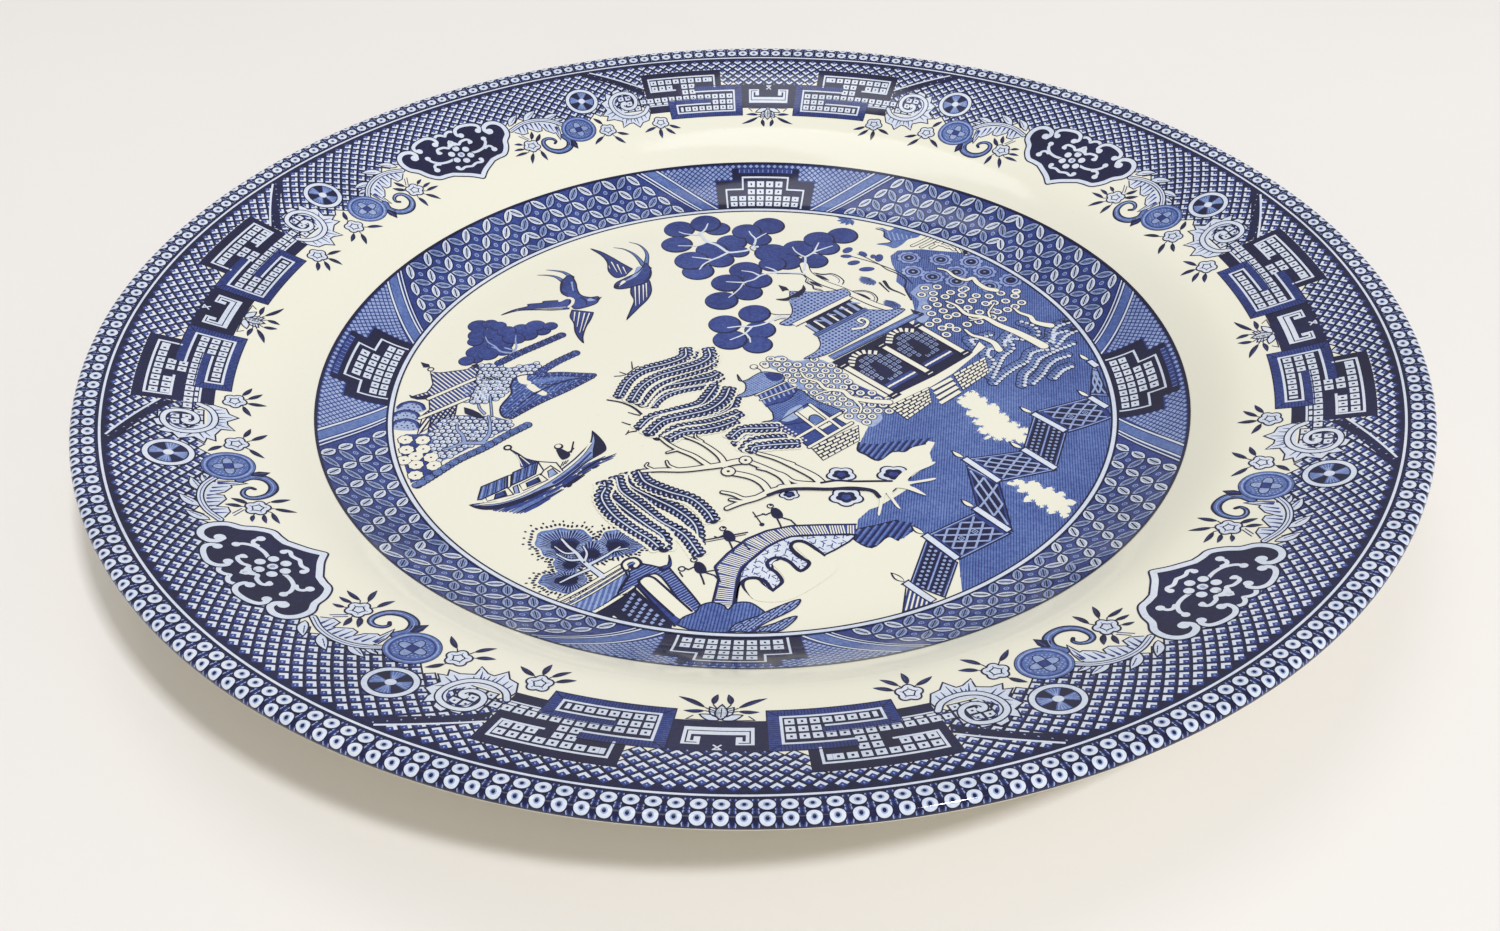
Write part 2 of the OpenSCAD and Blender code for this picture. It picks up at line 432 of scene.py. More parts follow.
# half flower hanging from the key block
for (x, y), (u, v), w in (((0.15, 106.3), (1.75, 104.9), 1.5), ((0.1, 105.6), (1.0, 102.9), 1.5)):
    lf = leafshape(*P(x, y), *P(u, v), w)
    hs.fill("pale", 4, lf)
    hs.stroke("navy", 5, lf, 0.26, closed=True)
lf = leafshape(*P(0, 106.2), *P(0, 102.2), 1.9)
hs.fill("pale", 6, lf)
hs.stroke("navy", 7, lf, 0.26, closed=True)
line("navy", 7, [(0, 105.6), (0, 103.2)], 0.16)
line("navy", 5, [(0.3, 106.45), (2.7, 106.3), (2.2, 105.2)], 0.2)
for (x, y), (u, v), w, bd in (((1.35, 103.9), (3.15, 104.1), 0.95, .15), ((1.35, 103.1), (3.85, 100.5), 1.0, -.2), ((0.75, 102.2), (0.45, 99.4), 1.05, .1)):
    hs.fill("navy", 4, leafshape(*P(x, y), *P(u, v), w, bd))
    hs.stroke("blue", 5, [P(x + (u - x) * .3, y + (v - y) * .3), P(x + (u - x) * .8, y + (v - y) * .8)], 0.16)
    line("navy", 4, [(x, y), (x * 0.35, 104.6 - (104.6 - y) * .4)], 0.22)

# stepped fret: the outer, dark arm
block("navy", 3, [(6.36, 114.0), (6.36, 120.4), (16.6, 120.4), (16.6, 106.5), (13.6, 106.5), (13.6, 112.0), (8, 112.0)])
WB = 0.45
line("pale", 5, [(7.25, 114.2), (7.25, 118.35), (15.78, 118.35), (15.78, 113.95), (12.45, 113.95)], WB)
line("pale", 5, [(13.85, 109.05), (16.7, 109.05)], WB * .8)
# its inner, mid-blue arm
for poly in ([(3.62, 103.8), (3.62, 114.7), (4.62, 113.1), (4.62, 105.4)],
             [(3.62, 114.7), (9.95, 114.7), (9.95, 113.1), (4.62, 113.1)],
             [(3.62, 103.8), (13.85, 103.8), (12.85, 105.4), (4.62, 105.4)],
             [(13.85, 103.8), (13.85, 110.4), (12.85, 108.9), (12.85, 105.4)],
             [(13.85, 110.4), (7.8, 110.4), (7.8, 108.9), (12.85, 108.9)]):
    block("blue", 4, poly)
block("navy", 3, [(4.55, 105.3), (12.95, 105.3), (12.95, 109.0), (13.6, 112.0), (10, 114), (9.95, 113.2), (4.55, 113.2)])
for a0, r0, a1, r1, n, vert in ((3.66, 104.4, 4.55, 114.0, 17, 1), (4.4, 113.2, 9.9, 114.6, 21, 0), (4.4, 103.9, 13.0, 105.3, 32, 0),
                                (12.9, 104.6, 13.8, 109.6, 9, 1), (7.9, 109.0, 13.0, 110.3, 20, 0)):
    for i in range(n):
        t = (i + 0.5) / n
        if vert:
            line("navy", 5, [(a0, r0 + (r1 - r0) * t), (a1, r0 + (r1 - r0) * t)], 0.13)
        else:
            x = a0 + (a1 - a0) * t
            line("navy", 5, [(x, r0), (x, r1)], 0.13)
for pts in ([(3.62, 114.7), (3.62, 103.8), (13.85, 103.8), (13.85, 110.4), (7.8, 110.4)], [(3.62, 114.7), (9.95, 114.7), (9.95, 113.1)],
            [(3.62, 103.8), (4.6, 105.4)], [(3.62, 114.7), (4.6, 113.1)], [(13.85, 103.8), (12.9, 105.4)], [(13.85, 110.4), (12.9, 108.9)]):
    line("navy", 6, pts, 0.2)
line("pale", 6, [(9.9, 112.8), (4.72, 112.8), (4.72, 105.62), (12.72, 105.62), (12.72, 108.5), (8.0, 108.5)], WB)
# dotted cells
PHI = [5.36 + 0.985 * j for j in range(13)]
RR_ = [116.95 - 2.0 * k for k in range(6)]
CELLS = {0: [(j, 1) for j in range(3, 11)] + [(2.4, .5)], 1: [(3, 1), (4, 1), (5, 1), (6, 1), (8, 1), (9, 1), (10, 1)],
         2: [(5, 1), (6, 1)], 3: [(j, 1) for j in range(12)], 4: [(0, 1), (1, 1), (2, 1)], 5: [(j, 1) for j in range(7)] + [(6.85, .5)]}
for k, row in CELLS.items():
    for j, wd in row:
        ph, r = 5.36 + 0.985 * j, RR_[k]
        hgt = 0.74
        if k == 1 and j in (3, 4):
            continue
        w2 = 0.38 * wd
        hs.fill("pale", 5, q8([(ph - w2, r - hgt), (ph + w2, r - hgt), (ph + w2, r + hgt), (ph - w2, r + hgt)]), 2)
        if wd == 1:
            hs.fill("navy", 6, q8([(ph - .1, r - .26), (ph + .1, r - .26), (ph + .1, r + .26), (ph - .1, r + .26)]), 2)
for j in (8.9, 9.9, 10.9):
    ph = 5.36 + 0.985 * j
    hs.fill("pale", 5, q8([(ph - .34, 109.4), (ph + .34, 109.4), (ph + .34, 109.95), (ph - .34, 109.95)]), 2)
# slanting bar from the fret to the bead ring
block("navy", 3, [(16.55, 115.2), (22.75, 124.05), (24.45, 124.05), (16.8, 113.2)])
line("pale", 4, [(16.75, 115.7), (22.7, 123.95)], 0.42)
# dotted ground between the fret and the snail scroll
for dx, dy in ((0, 0), (1, 0), (2, 0), (3, 0), (1, -1), (2, -1), (3, -1), (2, 1), (3, 1), (1, 1), (2, 2)):
    ph, r = 17.2 + dx * .95, 110.95 + dy * 1.95
    hs.fill("navy", 3, q8([(ph - .52, r - 1.0), (ph + .52, r - 1.0), (ph + .52, r + 1.0), (ph - .52, r + 1.0)]), 2)
    hs.fill("pale", 4, q8([(ph - .36, r - .72), (ph + .36, r - .72), (ph + .36, r + .72), (ph - .36, r + .72)]), 2)
    hs.fill("navy", 5, q8([(ph - .1, r - .22), (ph + .1, r - .22), (ph + .1, r + .22), (ph - .1, r + .22)]), 2)


def A8(pts, off=0.0):
    """Points on the border's own drawing grid: 50 units a degree, 22.2 a millimetre."""
    return [P((x * 0.02 + off) * KP, 131 - y * 0.045) for x, y in pts]


def B8(pts):
    return A8(pts, 22.0)


# snail scroll with its leaf
leaf = [(985, 352), (1000, 322), (1042, 336), (1052, 368), (1088, 338), (1100, 378), (1098, 392), (1142, 412), (1128, 452),
        (1122, 470), (1166, 506), (1128, 516), (1148, 548), (1096, 548), (1044, 572), (1052, 622), (1002, 598), (972, 596),
        (936, 640), (904, 604), (858, 592), (832, 540), (842, 500), (900, 520), (1000, 520), (1060, 440), (1020, 380)]
hs.fill("pale", 6, A8(leaf), 1.2)
hs.stroke("navy", 7, A8(leaf[:23]), 0.28)
for a, b in (((1010, 345), (1040, 385)), ((1060, 375), (1070, 410)), ((1100, 420), (1084, 440)), ((1120, 440), (1092, 462)),
             ((1130, 505), (1090, 492)), ((1110, 530), (1075, 510)), ((1040, 560), (1030, 545)), ((1030, 600), (1008, 560)),
             ((985, 590), (980, 560)), ((935, 615), (940, 560)), ((900, 590), (905, 552)), ((870, 575), (880, 540)),
             ((1000, 575), (995, 556)), ((955, 590), (958, 560))):
    hs.stroke("blue", 7, A8([a, b]), 0.12, 0.34)
sp = curve(A8([(838, 487), (868, 525), (915, 546), (975, 550), (1035, 530), (1073, 482), (1080, 430), (1060, 388), (1015, 363),
               (965, 361), (925, 380), (908, 420), (917, 458), (945, 480), (983, 482), (1008, 462), (1002, 440), (984, 434)]), 6)
hs.stroke("navy", 8, sp, 1.35)
hs.stroke("pale", 9, sp, 0.85)
hs.disc("pale", 9, *A8([(986, 440)])[0], 0.6, 12)
hs.stroke("blue", 8, curve(A8([(1046, 470), (1052, 430), (1030, 398), (990, 384), (950, 394), (938, 424)]), 5), 0.2)


def flower(phi, r, leaves, size=2.15):
    f = at(phi * KP, r)
    a = np.linspace(0, 2 * pi, 40, endpoint=False)
    rr = size * (0.78 + 0.24 * np.abs(np.cos(2.5 * a + 0.3)))
    o = f(np.c_[rr * np.cos(a), rr * np.sin(a)])
    for tip, base, w in leaves:
        lf = f(leafshape(*base, *tip, w, 0.12))
        hs.fill("navy", 8, lf)
        hs.stroke("blue", 9, f([(base[0] + (tip[0] - base[0]) * t, base[1] + (tip[1] - base[1]) * t) for t in (.35, .85)]), 0.14)
        hs.stroke("navy", 7, f([(base[0] * .4, base[1] * .4), base]), 0.2)
    hs.fill("pale", 9, o)
    hs.stroke("navy", 10, o, 0.3, closed=True)
    rr = 0.95 * (0.72 + 0.3 * np.abs(np.cos(2.5 * a[::2] + 0.3)))
    hs.stroke("navy", 10, f(np.c_[rr * np.cos(a[::2]), rr * np.sin(a[::2])]), 0.24, closed=True)
    for k in range(5):
        t = 2 * pi * k / 5 + 1.1
        hs.stroke("blue", 10, f([(1.1 * cos(t), 1.1 * sin(t)), (1.45 * cos(t), 1.45 * sin(t))]), 0.14)


flower(15.6, 103.0, [((-5.0, -2.8), (-2.0, -1.2), 1.0), ((-3.3, -4.8), (-.9, -2.2), 1.0), ((.65, -5.7), (.5, -2.2), 1.1), ((4.9, -3.0), (1.5, -1.5), 1.0)])
flower(23.44, 103.0, [((-5.1, -2.8), (-2.1, -1.4), 1.0), ((-3.3, -5.6), (-1.0, -2.6), 1.05), ((5.0, -4.3), (1.8, -2.0), 1.0), ((2.4, 5.0), (.7, 2.4), 1.0)])
flower(34.9, 103.3, [((-3.9, 3.4), (-1.7, 1.1), 1.05), ((-2.2, 4.8), (-1.0, 2.2), 1.0), ((3.9, 2.1), (1.9, 1.2), .8), ((5.0, .1), (2.2, -.4), .85),
                     ((5.8, -1.9), (2.0, -1.8), .9), ((-1.5, -6.0), (-1.3, -2.4), 1.05), ((3.0, -5.8), (.9, -2.5), 1.0)])

# fan disc
fx, fy = P(25.2 * KP, 114.3)
hs.disc("navy", 6, fx, fy, 4.42, 40)
hs.disc("pale", 7, fx, fy, 4.14, 40)
hs.disc("navy", 8, fx, fy, 3.3, 36)
for k in range(4):
    a0 = rad(25.2 * -KP + 90 * k + 18)
    pts = [(fx, fy)] + [(fx + 3.05 * cos(a0 + t), fy + 3.05 * sin(a0 + t)) for t in np.linspace(-.42, .42, 7)]
    hs.fill("mid", 9, pts)
    for t in (-.28, -.09, .09, .28):
        hs.stroke("light", 10, [(fx + .9 * cos(a0 + t * .5), fy + .9 * sin(a0 + t * .5)), (fx + 2.9 * cos(a0 + t), fy + 2.9 * sin(a0 + t))], 0.16)
hs.disc("pale", 11, fx, fy, 0.85, 16)

# medallion with a square eye
cx_, cy_ = P(27.36 * KP, 105.1)
hs.disc("navy", 10, cx_, cy_, 4.55, 40)
hs.disc("mid", 11, cx_, cy_, 4.4, 40)
hs.ring("light", 12, cx_, cy_, 3.75, 4.05, 36)
hs.ring("blue", 12, cx_, cy_, 3.3, 3.6, 36)
for i in range(-4, 5):
    for j in range(-4, 5):
        x, y = i * .66 + (j % 2) * .33, j * .6
        if 1.5 < hypot(x, y) < 3.1:
            hs.disc("light", 12, cx_ + x, cy_ + y, 0.17, 6)
ang0 = rad(-27.36 * KP)
ast = [(cx_ + cos(ang0 + t) * (1.25 + 1.35 * abs(cos(2 * t)) ** 1.6), cy_ + sin(ang0 + t) * (1.25 + 1.35 * abs(cos(2 * t)) ** 1.6)) for t in np.linspace(0, 2 * pi, 48, endpoint=False)]
hs.fill("light", 13, ast)
hs.stroke("navy", 14, ast, 0.18, closed=True)
sq = [(cx_ + 1.15 * cos(ang0 + pi / 4 + k * pi / 2), cy_ + 1.15 * sin(ang0 + pi / 4 + k * pi / 2)) for k in range(4)]
hs.fill("blue", 14, sq)
hs.stroke("navy", 15, sq, 0.16, closed=True)

# scroll below the medallion
sc = curve(B8([(392, 600), (372, 645), (395, 690), (445, 710), (500, 706), (546, 676), (560, 632), (546, 600), (512, 590), (478, 602), (466, 625), (482, 640)]), 6)
hs.stroke("navy", 7, sc, [1.9, 1.9, 1.9, 1.8, 1.8, 1.5, 1.3, 1.1, 0.9, .7])
hs.stroke("mid", 8, sc[:-6], [1.3, 1.2, 1.1, 1.0, .9, .7, .6, .4, .2])
hs.stroke("light", 9, sc[6:-14], 0.16)
pt = B8([(344, 722), (330, 680), (340, 640), (372, 648), (396, 676)])
hs.fill("navy", 8, pt)
hs.stroke("blue", 9, B8([(350, 700), (352, 660)]), 0.3)

# leaf that runs from the medallion to the cartouche
for tip, base, w in (((352, 428), (470, 452), 1.7), ((482, 368), (590, 424), 1.8), ((610, 366), (700, 432), 1.7), ((330, 470), (420, 486), 1.2), ((345, 500), (398, 508), 1.0)):
    (tx, ty), (bx, by) = B8([tip, base])
    lf = leafshape(bx, by, tx, ty, w, -.25)
    hs.fill("pale", 5, lf)
    hs.stroke("navy", 6, lf, 0.26, closed=True)
    for t in (.35, .5, .65):
        hs.stroke("blue", 6, [(bx + (tx - bx) * t, by + (ty - by) * t), (bx + (tx - bx) * (t + .16), by + (ty - by) * (t + .16))], 0.24, 0.08)
low = B8([(392, 520), (398, 560), (410, 596), (428, 622), (432, 560), (448, 562), (486, 530), (500, 492), (512, 522), (545, 524), (600, 478),
          (612, 516), (650, 516), (690, 486), (704, 470), (640, 452), (560, 446), (480, 460), (420, 488)])
hs.fill("pale", 5, low)
hs.stroke("navy", 6, low[:14], 0.26)
for i, (a, b) in enumerate((((420, 590), (414, 520)), ((440, 548), (446, 494)), ((470, 535), (474, 482)), ((500, 500), (506, 466)), ((530, 515), (530, 460)),
             ((560, 500), (560, 455)), ((590, 490), (592, 456)), ((625, 505), (620, 460)), ((655, 505), (650, 465)), ((405, 560), (404, 520)))):
    hs.stroke("blue", 6, B8([a, b]), 0.1, 0.5)
rb = curve(B8([(338, 560), (352, 526), (384, 494), (424, 466), (480, 444), (545, 434), (622, 440), (706, 466)]), 6)
hs.stroke("navy", 7, rb, 1.35)
hs.stroke("pale", 8, rb, 0.85)
hs.stroke("blue", 9, rb, 0.16)
for a, b in (((632, 560), (664, 520)), ((645, 566), (684, 520))):
    hs.stroke("blue", 6, B8([a, b]), 0.2)


# cartouche on the diagonal (left half; the mirror gives the other)
def CT(pts):
    return at(45.0, 107.65)([(min((x - 1111) * 0.0377, 0.0), (519 - y) * 0.045) for x, y in pts])


fr = curve(CT([(836, 436), (850, 410), (836, 384), (792, 372), (748, 388), (724, 428), (732, 480), (774, 520), (800, 568), (845, 610), (898, 618), (948, 626)]), 6)
fr2 = curve(CT([(948, 626), (1000, 652), (1056, 680), (1111, 716)]), 6)
body = np.vstack([np.array(CT([(1111, 352), (1080, 345), (1040, 352), (985, 336), (925, 340), (880, 365), (858, 400)])), fr, fr2[1:], np.array(CT([(1111, 716)]))])
hs.fill("navy", 9, body)
for s_ in (fr, fr2):
    hs.stroke("navy", 8, s_, 1.75)
    hs.stroke("pale", 10, s_, 1.08)
hs.disc("pale", 10, *CT([(826, 428)])[0], 0.92, 16)
tp = curve(CT([(892, 402), (874, 388), (878, 362), (918, 342), (985, 334), (1026, 352), (1036, 384), (1016, 398)]), 6)
hs.stroke("navy", 11, tp, 1.35)
hs.stroke("pale", 12, tp, 0.88)
for c in ((892, 400), (1014, 396)):
    hs.disc("pale", 12, *CT([c])[0], 0.78, 14)
tm = curve(CT([(1040, 356), (1066, 344), (1092, 350), (1111, 366)]), 5)
hs.stroke("navy", 9, tm, 1.2)
hs.stroke("pale", 10, tm, 0.75)
hs.stroke("navy", 9, curve(CT([(1030, 332), (1066, 328), (1111, 344)]), 5), 0.3)
# inner scrolls and the seven-disc flower
for pts, w in (([(1002, 462), (990, 446), (1006, 432), (1046, 434), (1072, 448), (1092, 430), (1111, 418)], .72),
               ([(896, 462), (902, 492), (938, 522), (990, 534), (1040, 532)], .72), ([(884, 560), (886, 534), (906, 522), (932, 530)], .7),
               ([(1020, 592), (1014, 606), (1032, 616), (1066, 610), (1111, 622)], .72)):
    hs.stroke("pale", 11, curve(CT(pts), 5), w)
for c, r in (((992, 456), .62), ((896, 464), .7), ((882, 558), .75), ((1018, 596), .62)):
    hs.disc("pale", 11, *CT([c])[0], r, 12)
hs.fill("pale", 11, CT([(1111, 398), (1092, 412), (1084, 440), (1096, 456), (1111, 462)]))
fl = at(45.0, 107.65)
for x, y in ((0, 0), (0, 2.25), (0, -2.25), (-2.05, 1.12), (-2.05, -1.12)):
    hs.disc("navy", 12, *fl([(x, y)])[0], 1.1, 18)
    hs.disc("pale", 13, *fl([(x, y)])[0], 0.86, 18)
hs.disc("light", 14, *fl([(0, 0)])[0], 0.42, 12)

for k in range(4):
    rim.take(hs, rot2(90 * k))
    rim.take(hs, rot2(90 * k) @ MIRX)

# ---------------------------------------------------------------- the band on the wall of the well
band = Art()
band.annulus("blue", 0, 76.1, 89.05, n=720, dr=0.5)
band.annulus("navy", 14, 88.78, 89.32, n=720, dr=0.4)
band.annulus("navy", 14, 75.92, 76.34, n=720, dr=0.4)
band.annulus("pale", 13, 75.14, 75.94, n=720, dr=0.4)
band.annulus("navy", 14, 74.80, 75.16, n=720, dr=0.4)
bs = Art()


def bb(tone, lev, pts, maxlen=0.7):
    bs.fill(tone, lev, PP(list(pts) + [pts[0]])[:-1], maxlen)


def bl(tone, lev, pts, w, w1=None):
    bs.stroke(tone, lev, PP(pts), w, w1, caps=False, maxlen=0.7)


def rib_l(r):
    return 8.9 + (r - 76.3) / 12.6 * 9.6


def rib_r(r):
    return 11.9 + (r - 76.3) / 12.6 * 9.2


# fine trellis beside and over the stepped motif
for k in range(21):
    r = 76.9 + 0.6 * k
    for j in range(40):
        ph = (j + (k % 2) * .5) * 1.0
        if ph > rib_l(r) - .4 or r > 88.7:
            continue
        if ph < 8.9 and r < 84.9 or ph < 5.9 and r < 88.0:
            continue
        a, b = .36, .44
        bs.add("light", 2, [P(ph - a, r), P(ph, r - b), P(ph + a, r), P(ph, r + b)], [(0, 1, 2), (0, 2, 3)])
# ribbon
ks = [76.3 + 12.6 * i / 10 for i in range(11)]
bs.fill("mid", 2, [P(rib_l(r), r) for r in ks] + [P(rib_r(r), r) for r in ks[::-1]], 0.7)
for off, w, tone in ((0.0, .38, "pale"), (.35, .16, "navy"), (-.35, .18, "navy")):
    bs.stroke(tone, 3, [P(rib_l(r) + off, r) for r in ks], w, caps=False)
for off, w, tone in ((0.0, .34, "pale"), (.45, .16, "navy"), (.75, .26, "pale"), (1.1, .2, "navy"), (-.32, .16, "navy")):
    bs.stroke(tone, 3, [P(rib_r(r) + off, r) for r in ks], w, caps=False)
# stepped motif
bb("navy", 3, [(0, 76.3), (8.65, 76.3), (8.65, 84.7), (5.7, 84.7), (5.7, 87.8), (0, 87.8)])
bb("blue", 4, [(0, 86.6), (4.6, 86.6), (4.6, 87.7), (0, 87.7)])
for j in range(6):
    bl("light", 5, [(.45 + .8 * j, 86.7), (.45 + .8 * j, 87.5)], .16)
bl("pale", 5, [(6.95, 76.5), (6.95, 82.3), (3.95, 82.3), (3.95, 85.5), (0, 85.5)], .42)
for k, r in enumerate((77.75, 79.6, 81.45, 83.65)):
    for j in range(4 if k < 2 else 2):
        ph = .82 + 1.62 * j
        hh = .72 if k < 3 else .78
        if k == 2:
            r = 81.55
        bb("pale", 5, [(ph - .62, r - hh), (ph + .62, r - hh), (ph + .62, r + hh), (ph - .62, r + hh)], 2)
        bb("navy", 6, [(ph - .15, r - .3), (ph + .15, r - .3), (ph + .15, r + .3), (ph - .15, r + .3)], 2)
# woven ovals
WP, WR = 360 / 84.0, 3.27


def oval(a, b, kind):
    (x0, y0), (x1, y1) = P(*a), P(*b)
    L = hypot(x1 - x0, y1 - y0)
    ux, uy = (x1 - x0) / L, (y1 - y0) / L
    n = 7
    for tone, lev, w, g in (("navy", 2, 2.3, .0), ("pale" if kind else "light", 6, 1.75, .26)):
        t = np.linspace(g / L, 1 - g / L, n)
        h = w / 2 * np.sin(pi * np.linspace(0, 1, n)) ** .7
        A = [(x0 + ux * L * q - uy * k, y0 + uy * L * q + ux * k) for q, k in zip(t, h)]
        B = [(x0 + ux * L * q + uy * k, y0 + uy * L * q - ux * k) for q, k in zip(t, h)]
        bs.fill(tone, lev, A + B[::-1][1:-1], 1.1)
    for s, w in ((-.36, .15), (0, .3), (.36, .15)):
        e = .2 if s == 0 else .28
        bs.stroke("navy" if s == 0 else ("light" if kind else "blue"), 10, [(x0 + ux * L * e - uy * s, y0 + uy * L * e + ux * s), (x0 + ux * L * (1 - e) - uy * s, y0 + uy * L * (1 - e) + ux * s)], w, caps=False)


for k in range(4):
    r0, r1 = 75.95 + WR * k, 75.95 + WR * (k + 1)
    rm = (r0 + r1) / 2
    for j in range(-1, 12):
        c0 = (j + (k % 2) * .5) * WP + 2.4
        for sgn, kind in ((.5, True), (-.5, False)):
            c1 = c0 + sgn * WP
            m = (c0 + c1) / 2
            if rib_r(rm) + 2.0 < m <= 45.05:
                lo, hi = (c0, r0 + .1), (c1, r1 - .1)
                oval(lo, hi, kind)
        # small beads between the ovals
        for dr in (0.0,):
            m = c0 + WP / 2
            if rib_r(r0) + 2.2 < m < 45 and k > 0:
                bs.ring("light", 3, *P(m, r0), .32, .52, 12)
                bs.disc("light", 3, *P(m, r0), .13, 6)
for k in range(4):
    band.take(bs, rot2(90 * k))
    band.take(bs, rot2(90 * k) @ MIRX)
# ---------------------------------------------------------------- the landscape in the middle of the well
centre = Art()
rng = np.random.default_rng(7)
SHEET = {1: (-76, 76), 2: (-32, 76), 3: (16, 68), 4: (-78, -2), 5: (-36, -4), 6: (6, -4), 7: (-32, 17)}


def Q(s, pts):
    """Drawing units, 13 a millimetre, of one of six drawing sheets to the plate's plan."""
    ox, oy = SHEET[s]
    return [(ox + x / 13.0, oy - y / 13.0) for x, y in pts]


def _ml(p):
    return 1.2 if np.hypot(*np.asarray(p, float).T).max() > 65.0 else 60.0


def F(tone, lev, pts):
    centre.fill(tone, lev, pts, _ml(pts))


def S(tone, lev, pts, w, w1=None, closed=False, caps=True):
    centre.stroke(tone, lev, pts, w, w1, closed, caps, _ml(pts))


def D(tone, lev, x, y, r, n=20, ry=None, rot=0.0):
    centre.disc(tone, lev, x, y, r, n, ry, rot)


def outline(lev, pts, fill="white", w=0.26, tone="navy"):
    F(fill, lev, pts)
    S(tone, lev + 1, pts, w, closed=True)


def ribbon(lev, pts, w, w1=None, edge=0.28, fill="white", tone="navy"):
    """A pale line with dark edges."""
    w1 = w if w1 is None else w1
    S(tone, lev, pts, w + 2 * edge, w1 + 2 * edge)
    S(fill, lev + 1, pts, w, w1)


def spans(poly, ang, step, off=0.0):
    """Parallel lines across an outline, as end pairs."""
    p = np.asarray(poly, float)
    c, s = cos(rad(ang)), sin(rad(ang))
    R = np.array([[c, s], [-s, c]])
    q = p @ R.T
    y = math.floor(q[:, 1].min() / step) * step + off
    out = []
    while y < q[:, 1].max():
        xs = []
        for a, b in zip(q, np.roll(q, -1, axis=0)):
            if (a[1] > y) != (b[1] > y):
                xs.append(a[0] + (y - a[1]) / (b[1] - a[1]) * (b[0] - a[0]))
        xs.sort()
        for x0, x1 in zip(xs[::2], xs[1::2]):
            if x1 - x0 > 0.1:
                out.append((np.array([x0, y]) @ R, np.array([x1, y]) @ R))
        y += step
    return out


def hatch(tone, lev, poly, ang, step, w, off=0.0):
    for a, b in spans(poly, ang, step, off):
        S(tone, lev, [a, b], w, caps=False)


def inside(poly, x, y):
    p = poly
    k = False
    j = len(p) - 1
    for i in range(len(p)):
        if (p[i][1] > y) != (p[j][1] > y) and x < (p[j][0] - p[i][0]) * (y - p[i][1]) / (p[j][1] - p[i][1]) + p[i][0]:
            k = not k
        j = i
    return k


def dots(tone, lev, poly, step, r, jit=0.25, n=6):
    p = np.asarray(poly, float)
    (x0, y0), (x1, y1) = p.min(0), p.max(0)
    i = 0
    y = y0
    while y < y1:
        x = x0 + (i % 2) * step / 2
        while x < x1:
            dx, dy = rng.uniform(-jit, jit, 2) * step
            if inside(poly, x + dx, y + dy):
                D(tone, lev, x + dx, y + dy, r * rng.uniform(.8, 1.15), n)
            x += step
        y += step * .85
        i += 1


def along(pts, step):
    p = np.asarray(pts, float)
    L = np.r_[0, np.cumsum(np.hypot(*np.diff(p, axis=0).T))]
    n = max(2, int(round(L[-1] / step)) + 1)
    s = np.linspace(0, L[-1], n)
    q = np.c_[np.interp(s, L, p[:, 0]), np.interp(s, L, p[:, 1])]
    t = np.gradient(q, axis=0)
    t /= np.maximum(np.hypot(*t.T), 1e-9)[:, None]
    return q, t


def scalloped(lev, pts, w, tone="blue", edge="navy", step=None, dot="light"):
    """A rounded stem of stone or bark with scalloped sides."""
    step = step or w * .55
    q, t = along(pts, step)
    for i, (a, d) in enumerate(zip(q, t)):
        nx, ny = -d[1], d[0]
        k = lev + 2 * (i % 2)
        D(edge, k, a[0], a[1], w / 2 + .17, 16)
        D(tone, k + 1, a[0] - nx * .06, a[1] - ny * .06, w / 2 - .02, 16)
        if dot:
            for u in (-.26, .02, .3):
                D(dot, k + 2, a[0] + nx * w * u + rng.uniform(-.1, .1), a[1] + ny * w * u, .13, 6)


def fruit(lev, sheet, cx, cy, r):
    """A round mass of the tree: solid cobalt, a little darker to the lower right."""
    x, y = Q(sheet, [(cx, cy)])[0]
    r = r / 13.0 * 1.04
    D("navy", lev, x, y, r + .1, 36)
    D("blue", lev + 1, x - .05 * r, y + .06 * r, r * .94, 36)


def wig(pts, sheet, n=6):
    return curve(Q(sheet, pts), n)


